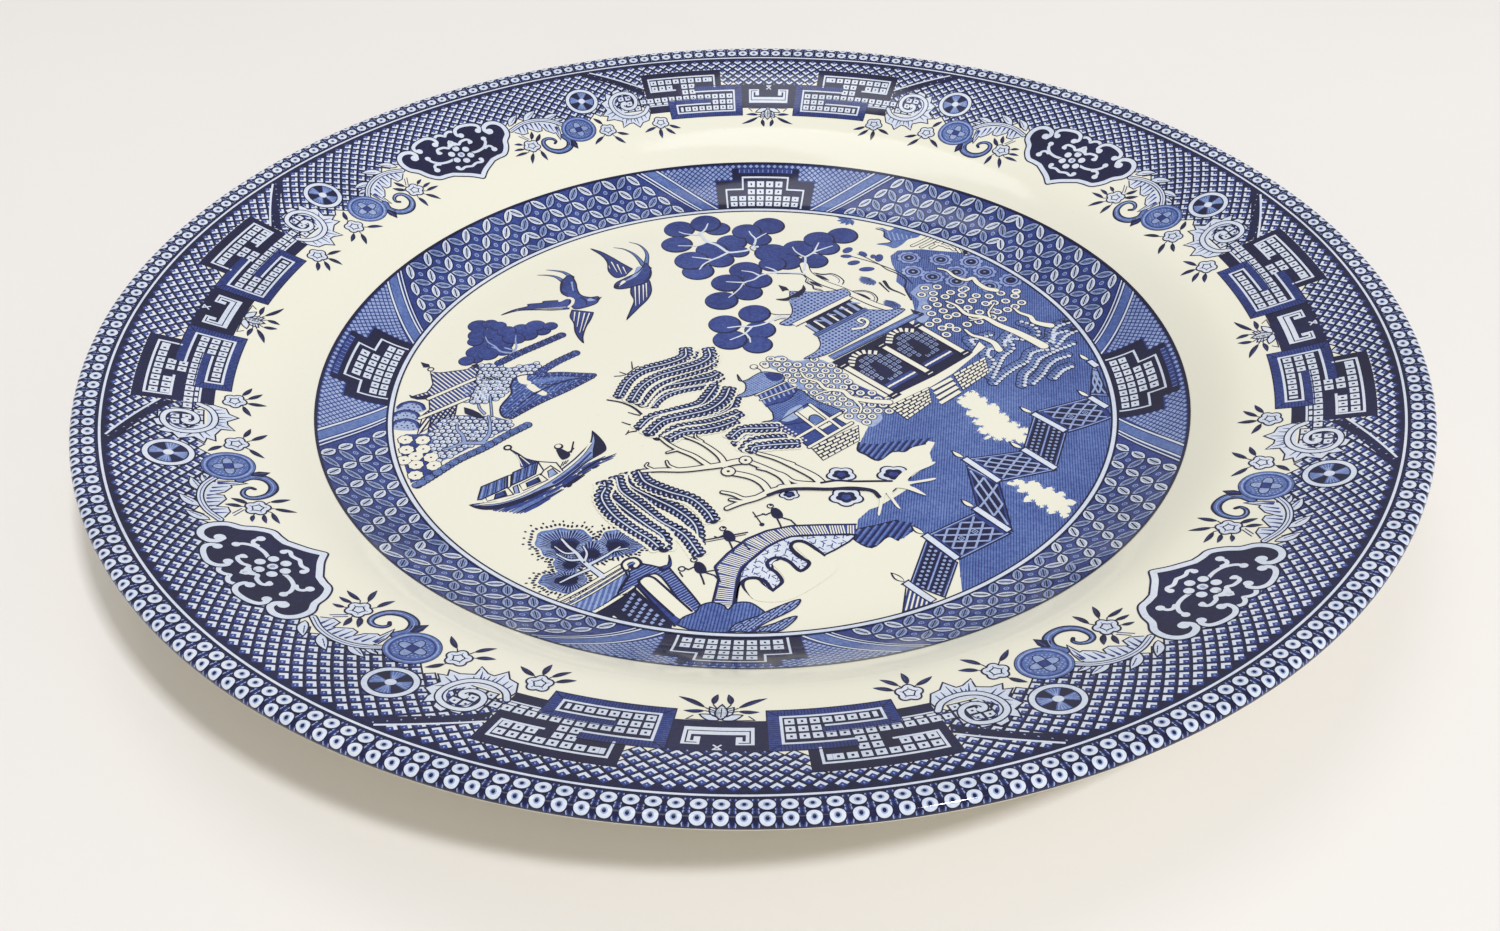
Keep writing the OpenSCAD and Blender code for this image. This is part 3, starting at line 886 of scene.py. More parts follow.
# ---- the tree of round fruit
FR = [(435, 103, 50), (365, 140, 46), (405, 190, 40), (228, 95, 48), (268, 124, 40), (145, 133, 48), (145, 230, 48), (345, 272, 32), (320, 213, 47),
      (258, 262, 48), (290, 325, 42), (200, 330, 52), (225, 395, 48), (675, 160, 48), (600, 187, 48), (622, 240, 42), (535, 245, 48), (585, 322, 42),
      (500, 330, 45), (455, 345, 42), (450, 275, 53), (372, 385, 49), (412, 445, 43), (320, 462, 48), (385, 515, 43), (308, 565, 48),
      (410, 635, 46), (325, 695, 46), (430, 722, 44), (425, 800, 42), (345, 777, 48)]
for i, (x, y, r) in enumerate(FR):
    fruit(2 + (i % 4) * 2, 2, x, y, r)
for pts, a, b in (([(395, 240), (370, 262), (340, 272), (312, 275), (290, 250), (270, 228), (240, 208), (222, 175), (212, 155)], .95, .75),
                  ([(222, 168), (195, 166), (165, 160), (145, 148)], .8, .3), ([(213, 160), (228, 130), (235, 92)], .75, .3),
                  ([(245, 206), (215, 235), (185, 238), (150, 238)], .6, .3), ([(312, 276), (285, 305), (262, 325), (240, 350), (228, 382)], .9, .35),
                  ([(262, 322), (235, 315), (200, 308)], .7, .3), ([(386, 250), (392, 225), (395, 190), (380, 160), (372, 138)], .9, .3),
                  ([(395, 190), (412, 168), (428, 150)], .6, .3), ([(553, 380), (556, 340), (556, 300), (545, 290), (525, 265), (515, 238)], .9, .3),
                  ([(556, 300), (582, 268), (590, 240), (598, 208)], .8, .3), ([(584, 266), (612, 246), (642, 226)], .7, .3),
                  ([(556, 402), (530, 398), (505, 395), (480, 395), (450, 400), (420, 415), (400, 440), (372, 458), (360, 490), (345, 520), (328, 546)], .9, .3),
                  ([(414, 414), (392, 396), (360, 388)], .7, .3), ([(472, 394), (455, 376), (434, 364)], .7, .3), ([(374, 458), (345, 457), (316, 455)], .7, .3),
                  ([(515, 652), (480, 648), (462, 668), (440, 690), (405, 705), (370, 705), (335, 713)], .8, .4),
                  ([(405, 706), (388, 740), (368, 760), (345, 777)], .7, .3), ([(388, 742), (400, 765), (404, 788)], .6, .3)):
    S("pale", 12, wig(pts, 2), a * .82, b)
for pts in ([(392, 224), (380, 240), (384, 256), (398, 268), (396, 282)], [(470, 402), (520, 402), (548, 406), (560, 425)],
            [(455, 630), (475, 638), (515, 636)], [(470, 672), (490, 660), (516, 664)]):
    S("navy", 13, wig(pts, 2), .22)
D("navy", 12, *Q(2, [(402, 238)])[0], .75, 14)
D("pale", 13, *Q(2, [(402, 238)])[0], .48, 12)
# trunk and its knots
ribbon(10, wig([(552, 345), (566, 400), (612, 452), (668, 490), (712, 528), (765, 572), (812, 600)], 2), 1.9, 1.5, .26)
for c, pts in (((610, 420), [(585, 395), (612, 402), (640, 398), (662, 415), (676, 440), (672, 460)]), ((590, 460), [(562, 428), (560, 450), (580, 470), (585, 490), (612, 500)]),
               ((735, 525), [(700, 500), (735, 495), (762, 508), (776, 536), (772, 560), (760, 572)])):
    S("navy", 9, wig(pts, 2), .3)
    x, y = Q(2, [c])[0]
    F("navy", 9, leafshape(x - 1.6, y + 1.2, x + 1.7, y - 1.5, 1.0))
    S("blue", 8, wig([(p[0] * .8 + c[0] * .2, p[1] * .8 + c[1] * .2) for p in pts], 2), .16)
# sprig
for pts, a, b in (([(878, 545), (862, 480), (866, 430), (838, 390), (812, 370), (790, 340), (765, 315), (745, 295), (720, 275)], .5, .2),
                  ([(700, 290), (740, 310), (790, 340), (830, 370), (860, 400), (885, 450)], .25, .3)):
    S("navy", 9, wig(pts, 2), a, b)
for c, r, a in (((690, 252), (1.5, .95), 55), ((685, 290), (1.3, .7), 0), ((738, 275), (1.3, .8), -60), ((788, 298), (1.7, .9), 80), ((708, 330), (1.5, .9), 25),
                ((748, 368), (1.8, .9), 10), ((770, 290), (.9, .6), 90)):
    x, y = Q(2, [c])[0]
    D("navy", 9, x, y, r[0] + .1, 18, r[1] + .1, rad(a))
    D("blue", 10, x, y, r[0], 18, r[1], rad(a))
# palm-like tufts beside the trunk
for cx, cy, sgn in ((765, 430, 1), (835, 565, 1), (700, 60, 0)):
    x, y = Q(2, [(cx, cy)])[0]
    for k in range(9):
        a = rad(150 + 15 * k) if sgn else rad(40 + 30 * k)
        F("mid", 9, leafshape(x, y, x + 3.4 * cos(a), y + 3.4 * sin(a) * .8, 1.2, .2))
        S("navy", 10, [(x + .8 * cos(a), y + .8 * sin(a) * .8), (x + 2.9 * cos(a), y + 2.9 * sin(a) * .8)], .14)
S("navy", 10, wig([(800, 440), (815, 480), (845, 505), (860, 520)], 2), .9, .3)
S("navy", 10, wig([(785, 448), (800, 478), (812, 500)], 2), .5, .3)

# ---- pagoda at the right of the tree
def tiled(lev, poly, ang=0.0, step=1.05, tone="light"):
    F("blue", lev, poly)
    hatch(tone, lev + 1, poly, 44 + ang, step, .42)
    hatch(tone, lev + 1, poly, -46 + ang, step, .42)
    S("navy", lev + 2, poly, .26, closed=True)


def beam(lev, a, b, w, fill="white", s=2, mid=None):
    p, q = Q(s, [a, b])
    S("navy", lev, [p, q], w + .5, caps=False)
    S(fill, lev + 1, [p, q], w, caps=False)
    if mid:
        S(mid, lev + 2, [p, q], .16, caps=False)


tiled(14, wig([(512, 505), (560, 508), (600, 508), (645, 500), (678, 488), (692, 532), (610, 610), (532, 690), (486, 688), (512, 655), (522, 615), (512, 560)], 2, 4))
F("navy", 17, Q(2, [(476, 470), (500, 482), (510, 500), (498, 500), (490, 508), (484, 492)]))
F("navy", 17, wig([(552, 466), (560, 495), (545, 530), (505, 560), (470, 552), (500, 545), (530, 515), (548, 490)], 2, 4))
for r0, r1 in ((1.5, 1.25), (1.0, .8)):
    centre.ring("light", 18, *Q(2, [(530, 562)])[0], r1, r0, 20)
F("navy", 12, Q(2, [(560, 672), (690, 548), (742, 605), (598, 750)]))
for i in range(7):
    a = (566 + 20 * i, 690 - 20 * i)
    beam(13, a, (a[0] + 46, a[1] + 52), .55 if i % 2 else .9, "white" if i % 2 else "light")
for i in range(4):
    a = (592 + 36 * i, 668 - 34 * i)
    S("light", 15, Q(2, [a, (a[0] + 22, a[1] + 2)]), .7, .3)
beam(18, (528, 694), (694, 534), 1.25)
tiled(15, wig([(742, 604), (800, 606), (856, 600), (780, 690), (700, 770), (640, 830), (600, 858), (560, 868), (592, 832), (606, 796), (598, 752)], 2, 4), step=1.0)
beam(20, (590, 748), (744, 600), 1.05, "mid", mid="navy")
beam(20, (636, 862), (903, 618), 1.5, "mid", mid="light")
F("navy", 21, Q(2, [(872, 596), (884, 606), (912, 620), (898, 636), (880, 622)]))
S("white", 22, wig([(700, 712), (732, 700), (744, 670), (728, 652), (716, 664), (726, 676)], 2), .8, .6)
S("navy", 21, wig([(700, 712), (732, 700), (744, 670), (728, 652), (716, 664), (726, 676)], 2), 1.2, 1.0)

# ---- two swallows
def bird(lev, s, body, head, tails, wings, eye):
    for t in tails:
        p = wig(t, s)
        S("navy", lev, p, .16, 1.35)
        S("mid", lev + 1, p, .04, .8)
    for up, lo, ribs in wings:
        w = np.vstack([wig(up, s), wig(lo, s)[::-1]])
        F("blue", lev + 1, w)
        S("navy", lev + 3, w, .34, closed=True)
        for a, b in ribs:
            a, b = Q(s, [a, b])
            S("white", lev + 2, [a, b], .32, .12)
            S("navy", lev + 3, [(a[0] + .3, a[1] + .1), (b[0] + .3, b[1] + .1)], .12)
    b_ = curve(Q(s, body), 6, closed=True)
    F("blue", lev + 4, b_)
    S("navy", lev + 6, b_, .34, closed=True)
    for tone, pts, w in head:
        S(tone, lev + 5, wig(pts, s), w, .2)
    D("navy", lev + 7, *Q(s, [eye])[0], .22, 10)


bird(6, 1, [(628, 350), (612, 400), (575, 440), (550, 470), (548, 498), (565, 505), (590, 498), (620, 480), (645, 455), (652, 415), (645, 380)],
     [("light", [(612, 380), (600, 430), (570, 465)], 1.6), ("blue", [(640, 380), (640, 430), (610, 478)], 1.6), ("white", [(572, 462), (560, 490)], 1.0),
      ("navy", [(648, 400), (648, 430), (634, 462)], .5)],
     [[(562, 218), (592, 232), (615, 262), (628, 300), (630, 355)], [(516, 254), (548, 262), (580, 288), (602, 320), (622, 360)]],
     [([(443, 263), (480, 283), (520, 318), (552, 350), (590, 385)], [(443, 263), (485, 306), (508, 350), (518, 400), (545, 438), (572, 428)],
       [((500, 330), (520, 385)), ((520, 345), (545, 405)), ((540, 360), (560, 415)), ((560, 375), (575, 415))]),
      ([(650, 450), (662, 510), (656, 560), (632, 615), (605, 678)], [(598, 488), (602, 530), (616, 570), (612, 620), (605, 678)],
       [((610, 492), (624, 600)), ((622, 486), (634, 590)), ((634, 480), (644, 570)), ((642, 470), (652, 550))])], (562, 482))
F("navy", 12, Q(1, [(556, 478), (544, 494), (556, 500), (562, 490)]))
bird(6, 1, [(402, 430), (424, 470), (436, 515), (452, 545), (480, 556), (505, 552), (505, 585), (480, 608), (446, 622), (430, 600), (418, 560), (392, 535), (382, 500), (382, 460)],
     [("blue", [(400, 440), (400, 500), (420, 540)], 1.9), ("light", [(412, 470), (424, 520)], .5), ("navy", [(384, 470), (388, 520), (410, 540)], .4),
      ("light", [(482, 570), (498, 572)], 1.3), ("navy", [(452, 556), (470, 575), (476, 600)], .4)],
     [[(322, 398), (352, 402), (380, 412), (408, 440)], [(300, 430), (330, 430), (360, 440), (390, 470)]],
     [([(228, 662), (262, 632), (300, 612), (300, 600), (340, 592), (345, 582), (395, 574), (420, 560)], [(228, 662), (275, 636), (330, 630), (380, 630), (425, 622)],
       [((415, 612), (270, 634)), ((405, 622), (300, 630))]),
      ([(502, 640), (498, 680), (490, 720), (488, 770), (494, 804)], [(436, 628), (436, 665), (452, 700), (462, 745), (478, 780), (494, 804)],
       [((446, 640), (450, 690)), ((460, 640), (464, 720)), ((476, 645), (476, 750)), ((490, 645), (484, 740))])], (492, 562))
S("white", 12, wig([(392, 578), (410, 562), (428, 568), (432, 590), (424, 612)], 1), .9, .7)
F("navy", 12, Q(1, [(502, 560), (516, 552), (510, 570), (504, 574)]))

# ---- the garden bank at the right, washed in blue with engraved lines
def quadmap(a, b, c, d):
    """Maps the unit square onto a four-sided panel a-b-c-d."""
    a, b, c, d = (np.array(v, float) for v in (a, b, c, d))
    return lambda u, v: a * (1 - u) * (1 - v) + b * u * (1 - v) + c * u * v + d * (1 - u) * v


bank = Q(6, [(440, 660), (365, 570), (335, 545), (300, 575), (270, 575), (240, 590), (200, 585), (205, 520), (235, 480), (255, 470), (300, 430),
             (330, 400), (335, 360), (370, 320), (400, 290), (395, 250), (412, 205), (395, 200), (350, 225), (310, 250), (285, 250), (255, 265),
             (215, 245), (215, 215), (240, 140), (262, 60)]) + Q(3, [(170, 930), (205, 760), (250, 600), (262, 520), (255, 430), (240, 380), (212, 335),
             (217, 285), (203, 230), (200, 180), (225, 145), (300, 136), (370, 150), (420, 160)]) + [P(a, 74.95) for a in np.arange(43.0, 148.6, 1.0)]
F("mid", 0, bank)
hatch("blue", 1, bank, 84, .52, .17)
for pts in ([(428, 182), (402, 188), (385, 212), (350, 226), (330, 246), (300, 246), (262, 285), (230, 262), (210, 245), (214, 212), (250, 218), (300, 206), (350, 196)],
            [(345, 530), (335, 560), (300, 592), (275, 580), (236, 620), (194, 590), (198, 560), (250, 540), (300, 520)]):
    r_ = wig(pts, 6, 3)
    F("blue", 2, r_)
    hatch("mid", 3, r_, 62, 1.15, .42)
    hatch("navy", 3, r_, 62, 1.15, .3, .5)
    S("navy", 3, wig(pts[2:10], 6, 4), .5)
for pts in ([(485, 35), (482, 10), (500, -8), (520, -30), (538, -30), (548, -6), (565, 0), (566, 26), (590, 30), (596, 64), (612, 74), (618, 104), (640, 112), (642, 132), (660, 130),
             (655, 165), (640, 208), (620, 196), (604, 206), (592, 190), (572, 196), (560, 184), (535, 192), (548, 170), (524, 158), (534, 132), (514, 118), (524, 96), (502, 86), (508, 56)],
            [(595, 358), (578, 370), (606, 384), (600, 400), (626, 410), (612, 440), (640, 440), (650, 462), (668, 460), (668, 486), (694, 484), (700, 506), (722, 492), (728, 462),
             (746, 440), (722, 424), (722, 400), (700, 398), (696, 380), (672, 382), (656, 356), (630, 362), (615, 348)]):
    F("white", 2, wig(pts, 6, 4))
    for x, y in Q(6, pts[::1]):
        a = math.atan2(y + 15, x - 52)
        for k in (-.5, 0.1, .6):
            S("mid", 3, [(x + cos(a + k) * .3, y + sin(a + k) * .3), (x - cos(a + k) * .9, y - sin(a + k) * .9)], .5, .08)


def bricks(lev, a, b, c, d, rows, cols, s=3):
    m = quadmap(*Q(s, [a, b, c, d]))
    F("navy", lev, [m(0, 0), m(1, 0), m(1, 1), m(0, 1)])
    for r in range(rows):
        for k in range(-1, cols + 1):
            u0, u1 = (k + (r % 2) * .5 + .1) / cols, (k + (r % 2) * .5 + .9) / cols
            u0, u1 = max(u0, .02), min(u1, .98)
            if u1 - u0 < .03:
                continue
            v0, v1 = (r + .18) / rows, (r + .82) / rows
            F("white", lev + 1, [m(u0, v0), m(u1, v0), m(u1, v1), m(u0, v1)])


def panel(lev, quad, kind, s=6, n=4):
    q = Q(s, quad)
    m = quadmap(*q)
    F("blue", lev, q)
    S("navy", lev + 5, q, .3, closed=True)
    if kind == "dots":
        for u0, u1 in ((.08, .46), (.54, .92)):
            F("navy", lev + 1, [m(u0, .03), m(u1, .03), m(u1, .97), m(u0, .97)])
            for i in range(n * 2):
                for k in (0, 1):
                    p = m(u0 + (u1 - u0) * (.3 + .4 * k), (i + .5 + .25 * k) / (n * 2))
                    D("light", lev + 2, p[0], p[1], .34, 8)
        for u in (.03, .5, .97):
            S("light", lev + 3, [m(u, .02), m(u, .98)], .28, caps=False)
    else:
        g = .09
        F("navy", lev + 1, [m(g, g), m(1 - g, g), m(1 - g, 1 - g), m(g, 1 - g)])
        k = n
        for i in range(-k, k + 1):
            for sgn in (1, -1):
                pts = []
                for t in np.linspace(0, 1, 13):
                    u = i / k + t if sgn > 0 else i / k + 1 - t
                    if -1e-6 <= u <= 1 + 1e-6:
                        pts.append(m(g + (1 - 2 * g) * u, g + (1 - 2 * g) * t))
                if len(pts) > 1:
                    S("light", lev + 3, pts, .42, caps=False)
        if kind == "eyes":
            for i in range(k * 2 + 1):
                for j in range(3):
                    u, v = (i * .5 + (j % 2) * .0) / k, j / 2
                    if (i + j) % 2 == 0 or not 0.05 < u < .95:
                        continue
                    p = m(g + (1 - 2 * g) * u, g + (1 - 2 * g) * (v * .98 + .01))
                    if 0.02 < v < .98:
                        D("light", lev + 3, p[0], p[1], .72, 4)
                        D("navy", lev + 4, p[0], p[1], .46, 4)
                        D("light", lev + 5, p[0], p[1], .2, 4)
        for a, b in (((0.03, .03), (.97, .03)), ((.03, .97), (.97, .97))):
            S("light", lev + 4, [m(*a), m(*b)], .3, caps=False)
    return m


panel(6, [(690, 60), (860, -14), (888, 92), (764, 152)], "eyes", n=3)
panel(6, [(682, 82), (758, 156), (714, 300), (640, 222)], "dots", n=5)
panel(6, [(490, 272), (640, 236), (712, 312), (566, 362)], "lattice", n=3)
panel(6, [(486, 300), (562, 364), (576, 552), (500, 472)], "lattice", n=2)
panel(6, [(370, 572), (492, 486), (572, 560), (442, 656)], "eyes", n=3)
panel(6, [(366, 592), (436, 668), (398, 792), (322, 742)], "dots", n=5)
F("blue", 6, Q(6, [(312, 752), (370, 812), (300, 842)]))
hatch("white", 7, Q(6, [(312, 752), (370, 812), (300, 842)]), 78, .8, .32)
S("navy", 8, Q(6, [(312, 752), (370, 812), (300, 842)]), .28, closed=True)
panel(6, [(740, 790), (752, 800), (762, 930), (716, 920)], "lattice", s=3, n=2)
for a, b in (((680, 70), (758, 148)), ((842, -8), (882, 46)), ((636, 226), (712, 308)), ((482, 270), (564, 364)), ((492, 466), (570, 552)), ((364, 570), (438, 656)),
             ((310, 738), (372, 806)), ((866, -180), (884, -146))):
    p, q = (np.array(v) for v in Q(6, [a, b]))
    d = (p - q) / np.hypot(*(p - q))
    S("navy", 12, [p, q], 1.75, caps=False)
    S("navy", 12, [p + d * .1, p - d * .2], 2.0, caps=False)
    S("pale", 13, [p - d * .22, q + d * .22], 1.2, caps=False)
    for t, (w, ll) in enumerate(((1.35, 2.6), (.85, 2.1))):
        f0 = p + d * (.15 + .12 * t)
        tip = f0 + (d + np.array([-.25, .15])) * ll
        F(("navy", "white")[t], 12 + t, leafshape(f0[0], f0[1], tip[0], tip[1], w, .15))

# foliage of rosettes
for x, y in ((258, 190), (357, 200), (450, 215), (267, 275), (487, 275), (325, 305), (397, 330), (400, 275), (562, 325), (495, 355)):
    cx, cy = Q(3, [(x, y)])[0]
    r = 2.75
    a = np.linspace(0, 2 * pi, 54, endpoint=False)
    rr_ = r * (.84 + .2 * np.abs(np.cos(4.5 * a)))
    F("blue", 3, np.c_[cx + (rr_ + .3) * np.cos(a), cy + (rr_ + .3) * np.sin(a)])
    F("light", 4, np.c_[cx + rr_ * np.cos(a), cy + rr_ * np.sin(a)])
    D("blue", 5, cx, cy, r * .72, 24)
    centre.ring("light", 6, cx, cy, r * .46, r * .58, 22)
    D("navy", 6, cx, cy, r * .38, 16)
    D("light", 7, cx, cy, r * .13, 8)
# foliage of small rings
RF = [(298, 372), (336, 364), (286, 410), (322, 402), (374, 395), (410, 382), (420, 372), (572, 386), (525, 396), (450, 412), (408, 410), (488, 414), (566, 412), (320, 435), (356, 420),
      (436, 440), (398, 446), (535, 440), (582, 448), (474, 456), (330, 466), (370, 472), (298, 482), (420, 480), (536, 488), (345, 500), (408, 502), (452, 504), (490, 492), (310, 516),
      (382, 520), (356, 532), (515, 540), (323, 553), (446, 556), (410, 572), (300, 575), (358, 580), (336, 594), (377, 600), (346, 628), (486, 530), (430, 530), (505, 500), (560, 470), (500, 450)]
F("light", 3, wig([(280, 352), (318, 348), (330, 400), (300, 440), (310, 500), (290, 560), (268, 560), (262, 520), (276, 450), (252, 400)], 3, 4))
for x, y in RF:
    cx, cy = Q(3, [(x, y)])[0]
    D("navy", 5, cx, cy, 1.28, 18)
    D("white", 6, cx, cy, 1.06, 18)
    D("blue", 7, cx, cy, .62, 14)
    D("light", 8, cx, cy, .3, 10)
for pts, a, b in (([(345, 255), (372, 268), (392, 300), (425, 322), (448, 310), (460, 340), (484, 370), (512, 380)], .5, 1.5),
                  ([(358, 448), (385, 470), (408, 512), (430, 525), (465, 535), (500, 572), (550, 612), (590, 650), (618, 680)], .5, 2.3),
                  ([(402, 602), (420, 630), (450, 645), (478, 668), (490, 704)], .5, 1.6), ([(556, 480), (570, 505), (598, 525), (606, 552), (628, 566), (652, 574)], .5, 1.7),
                  ([(480, 530), (478, 505), (488, 480), (500, 455)], .5, .3), ([(465, 535), (440, 545), (420, 552)], .6, .3)):
    ribbon(14, wig(pts, 3), a, b, .22)
# pine in scalloped bands
for pts in ([(700, 556), (668, 572), (648, 600), (640, 640), (622, 660)], [(716, 600), (684, 622), (662, 655), (640, 686), (604, 694), (572, 716), (556, 756), (522, 786), (486, 826), (458, 866)],
            [(700, 664), (656, 690), (622, 716), (592, 742), (572, 786), (546, 822), (534, 876)], [(680, 722), (642, 742), (612, 778), (594, 816), (562, 862)],
            [(680, 776), (652, 796), (624, 836)], [(566, 562), (594, 580), (604, 616), (576, 640), (536, 636), (504, 652), (500, 680)],
            [(540, 600), (512, 640), (524, 690), (494, 730), (474, 780), (452, 838)], [(500, 700), (462, 690), (446, 730), (462, 770), (440, 810)], [(470, 620), (428, 640), (404, 652), (420, 690), (440, 700)],
            [(690, 596), (652, 614), (640, 660)]):
    p = wig(pts, 3, 5)
    S("navy", 9, p, 2.6)
    S("mid", 10, p, 2.1)
    q, t = along(p, 1.15)
    for (x, y), (tx, ty) in zip(q, t):
        nx, ny = -ty, tx
        D("navy", 11, x + nx * .55, y + ny * .55, .72, 12)
        D("pale", 12, x + nx * .7, y + ny * .7, .5, 10)
        S("light", 12, [(x + nx * .5, y + ny * .5), (x - nx * .35, y - ny * .35)], .42, .16)
        S("navy", 11, [(x - nx * .2, y - ny * .2), (x - nx * 1.0, y - ny * 1.0)], .26)

# the temple
F("navy", 9, Q(3, [(14, 778), (240, 566), (402, 736), (188, 944)]))
for c, door in (((142, 786), (152, 812)), ((252, 668), (272, 706))):
    for i in range(-3, 4):
        for j in range(-3, 4):
            x, y = c[0] + 8 + (i + j) * 13, c[1] + 12 + (i - j) * 14
            if abs(i + j) < 5 and abs(i - j) < 5:
                cx, cy = Q(3, [(x, y)])[0]
                S("light", 11, [(cx - .55, cy), (cx, cy + .6), (cx + .55, cy), (cx, cy - .6)], .2, closed=True)
                D("light", 11, cx, cy, .14, 6)
    F("navy", 12, wig([(c[0] - 22, c[1] + 6), (c[0] - 8, c[1] - 16), (c[0] + 20, c[1] + 4), (c[0] + 46, c[1] + 40), (c[0] + 30, c[1] + 66), (c[0] + 6, c[1] + 52)], 3, 3))
    q, t = along(wig([(c[0] - 74, c[1] + 6), (c[0] - 66, c[1] - 36), (c[0] - 40, c[1] - 60), (c[0] - 4, c[1] - 58)], 3, 6), 1.3)
    for (x, y), (tx, ty) in zip(q, t):
        S("white", 13, [(x + ty * .75, y - tx * .75), (x - ty * .75, y + tx * .75)], .72, caps=False)
for a, b in (((168, 896), (246, 822)), ((276, 790), (352, 716))):
    p, q = (np.array(v) for v in Q(3, [a, b]))
    S("blue", 12, [p, q], 2.2, caps=False)
    for k in range(7):
        o = p + (q - p) * (k + .5) / 7
        S("white", 13, [o + (-.45, -.5), o + (.45, .5)], .5, caps=False)
for a, b in (((46, 796), (184, 934)), ((156, 690), (288, 826)), ((264, 582), (394, 724))):
    p, q = (np.array(v) for v in Q(3, [a, b]))
    S("navy", 14, [p, q], 1.9, caps=False)
    S("white", 15, [p, q], 1.3, caps=False)
    d = (q - p) / np.hypot(*(q - p))
    for e, sg in ((p, -1), (q, 1)):
        S("navy", 16, [e - d * sg * .9, e + d * sg * .9], 2.7, caps=False)
        S("white", 17, [e - d * sg * .1, e + d * sg * .16], 1.5, caps=False)
F("white", 13, Q(3, [(196, 922), (300, 836), (404, 732), (436, 662), (452, 690), (352, 824), (285, 892), (172, 990), (166, 960)]))
S("navy", 14, Q(3, [(166, 960), (196, 922), (300, 836), (404, 732), (436, 662)]), .3)
bricks(13, (164, 986), (280, 892), (284, 964), (214, 1046), 6, 5)
bricks(13, (350, 830), (448, 738), (452, 820), (372, 906), 6, 5)
for k in range(4):
    a, b = (288 + 6 * k, 902 + 22 * k), (346 + 6 * k, 850 + 20 * k)
    S("navy", 14, Q(3, [a, b]), 1.35, caps=False)
    S("white", 15, Q(3, [a, b]), .95, caps=False)

# small tower on the skyline, with its fence
F("mid", 5, wig([(150, 4), (166, 8), (186, 26), (182, 60), (206, 92), (182, 104), (158, 108), (190, 116), (214, 132), (240, 108), (262, 76), (292, 66), (300, 44), (262, 20), (232, 0), (216, 14), (200, 24), (182, 8)], 3, 4))
for k in range(6):
    S("light", 6, Q(3, [(196 + 15 * k, 30 + 6 * k), (206 + 13 * k, 84 - 3 * k)]), .34)
S("navy", 6, wig([(160, 12), (184, 28), (186, 60), (206, 92), (164, 106)], 3), .34)
for a, b in (((272, 116), (334, 66)), ((300, 124), (350, 84)), ((330, 130), (372, 96))):
    ribbon(6, Q(3, [a, b]), .7, edge=.22)
for k in range(5):
    ribbon(6, Q(3, [(346 + 22 * k, 104 + 12 * k), (366 + 18 * k, 118 + 14 * k)]), .62, edge=.2)

# ---- willow fronds: a band with cut edges, small leaves and a pale mid line
def frond(lev, pts, w, s=5, step=1.12):
    p = wig(pts, s, 8)
    q, t = along(p, step)
    n = len(q)
    for (x, y), (tx, ty) in zip(q, t):
        for sg in (1, -1):
            D("white", lev, x - ty * sg * w * .48, y + tx * sg * w * .48, .92, 10)
    S("navy", lev + 1, p, [w * .6, w * .92, w * .92, w * .92, w * .8])
    for i, ((x, y), (tx, ty)) in enumerate(zip(q, t)):
        k = i / max(1, n - 1)
        h = w / 2 * (.72 + .28 * sin(pi * min(1, .12 + k * 1.4)))
        for sg in (1, -1):
            nx, ny = -ty * sg, tx * sg
            a = math.atan2(ny + ty * .6, nx + tx * .6)
            D("navy", lev + 1, x + nx * h * .92, y + ny * h * .92, .64, 10)
            D("mid", lev + 2, x + nx * h * .74, y + ny * h * .74, .52, 8, .26, a)
            D("pale", lev + 3, x + nx * h * .84 + tx * .1, y + ny * h * .84 + ty * .1, .3, 8, .15, a)
    S("navy", lev + 4, p, .66)
    S("pale", lev + 5, p, .3)


fi = 0
for pts, w in (([(378, -75), (345, -40), (290, -20), (240, 10), (215, 40), (205, 66)], 2.2), ([(372, -93), (350, -73), (282, -48), (222, -23), (190, 20), (176, 62)], 2.5),
               ([(352, -180), (345, -130), (300, -100), (240, -65), (195, -20), (165, 55)], 2.3), ([(337, -213), (344, -173), (318, -138), (262, -105), (205, -72), (166, -23), (146, 44)], 2.5),
               ([(292, -195), (282, -150), (240, -115), (190, -85), (146, -30), (128, 32)], 2.4), ([(272, -213), (272, -172), (226, -136), (166, -106), (126, -53), (108, 24)], 2.5),
               ([(370, -30), (352, 20), (330, 60), (260, 92), (205, 120), (180, 165)], 2.6), ([(408, -20), (396, 30), (360, 78), (300, 106), (240, 134), (206, 190)], 2.7),
               ([(424, 25), (412, 70), (366, 108), (320, 126), (262, 150), (232, 206)], 2.7), ([(440, 92), (410, 118), (368, 140), (318, 152), (276, 168), (250, 205)], 2.7),
               ([(432, 128), (396, 152), (350, 170), (300, 180), (262, 212)], 2.3),
               ([(545, 156), (500, 160), (450, 166), (425, 200)], 2.3), ([(560, 178), (510, 182), (468, 190), (440, 228)], 2.4), ([(565, 200), (520, 206), (480, 216), (462, 252)], 2.4),
               ([(600, 222), (560, 226), (520, 232), (488, 240), (480, 258)], 2.3),
               ([(196, 352), (220, 395), (280, 430), (340, 455), (380, 500), (398, 534)], 2.7), ([(168, 362), (180, 405), (240, 450), (310, 500), (358, 560), (368, 650)], 2.9),
               ([(142, 376), (160, 430), (208, 478), (268, 540), (330, 588), (372, 656)], 2.6), ([(114, 398), (130, 446), (176, 498), (240, 560), (282, 600), (288, 640)], 2.9),
               ([(120, 420), (116, 460), (150, 520), (200, 570), (250, 610), (274, 636)], 2.3)):
    frond(4 + 7 * (fi % 4), pts, w)
    fi += 1
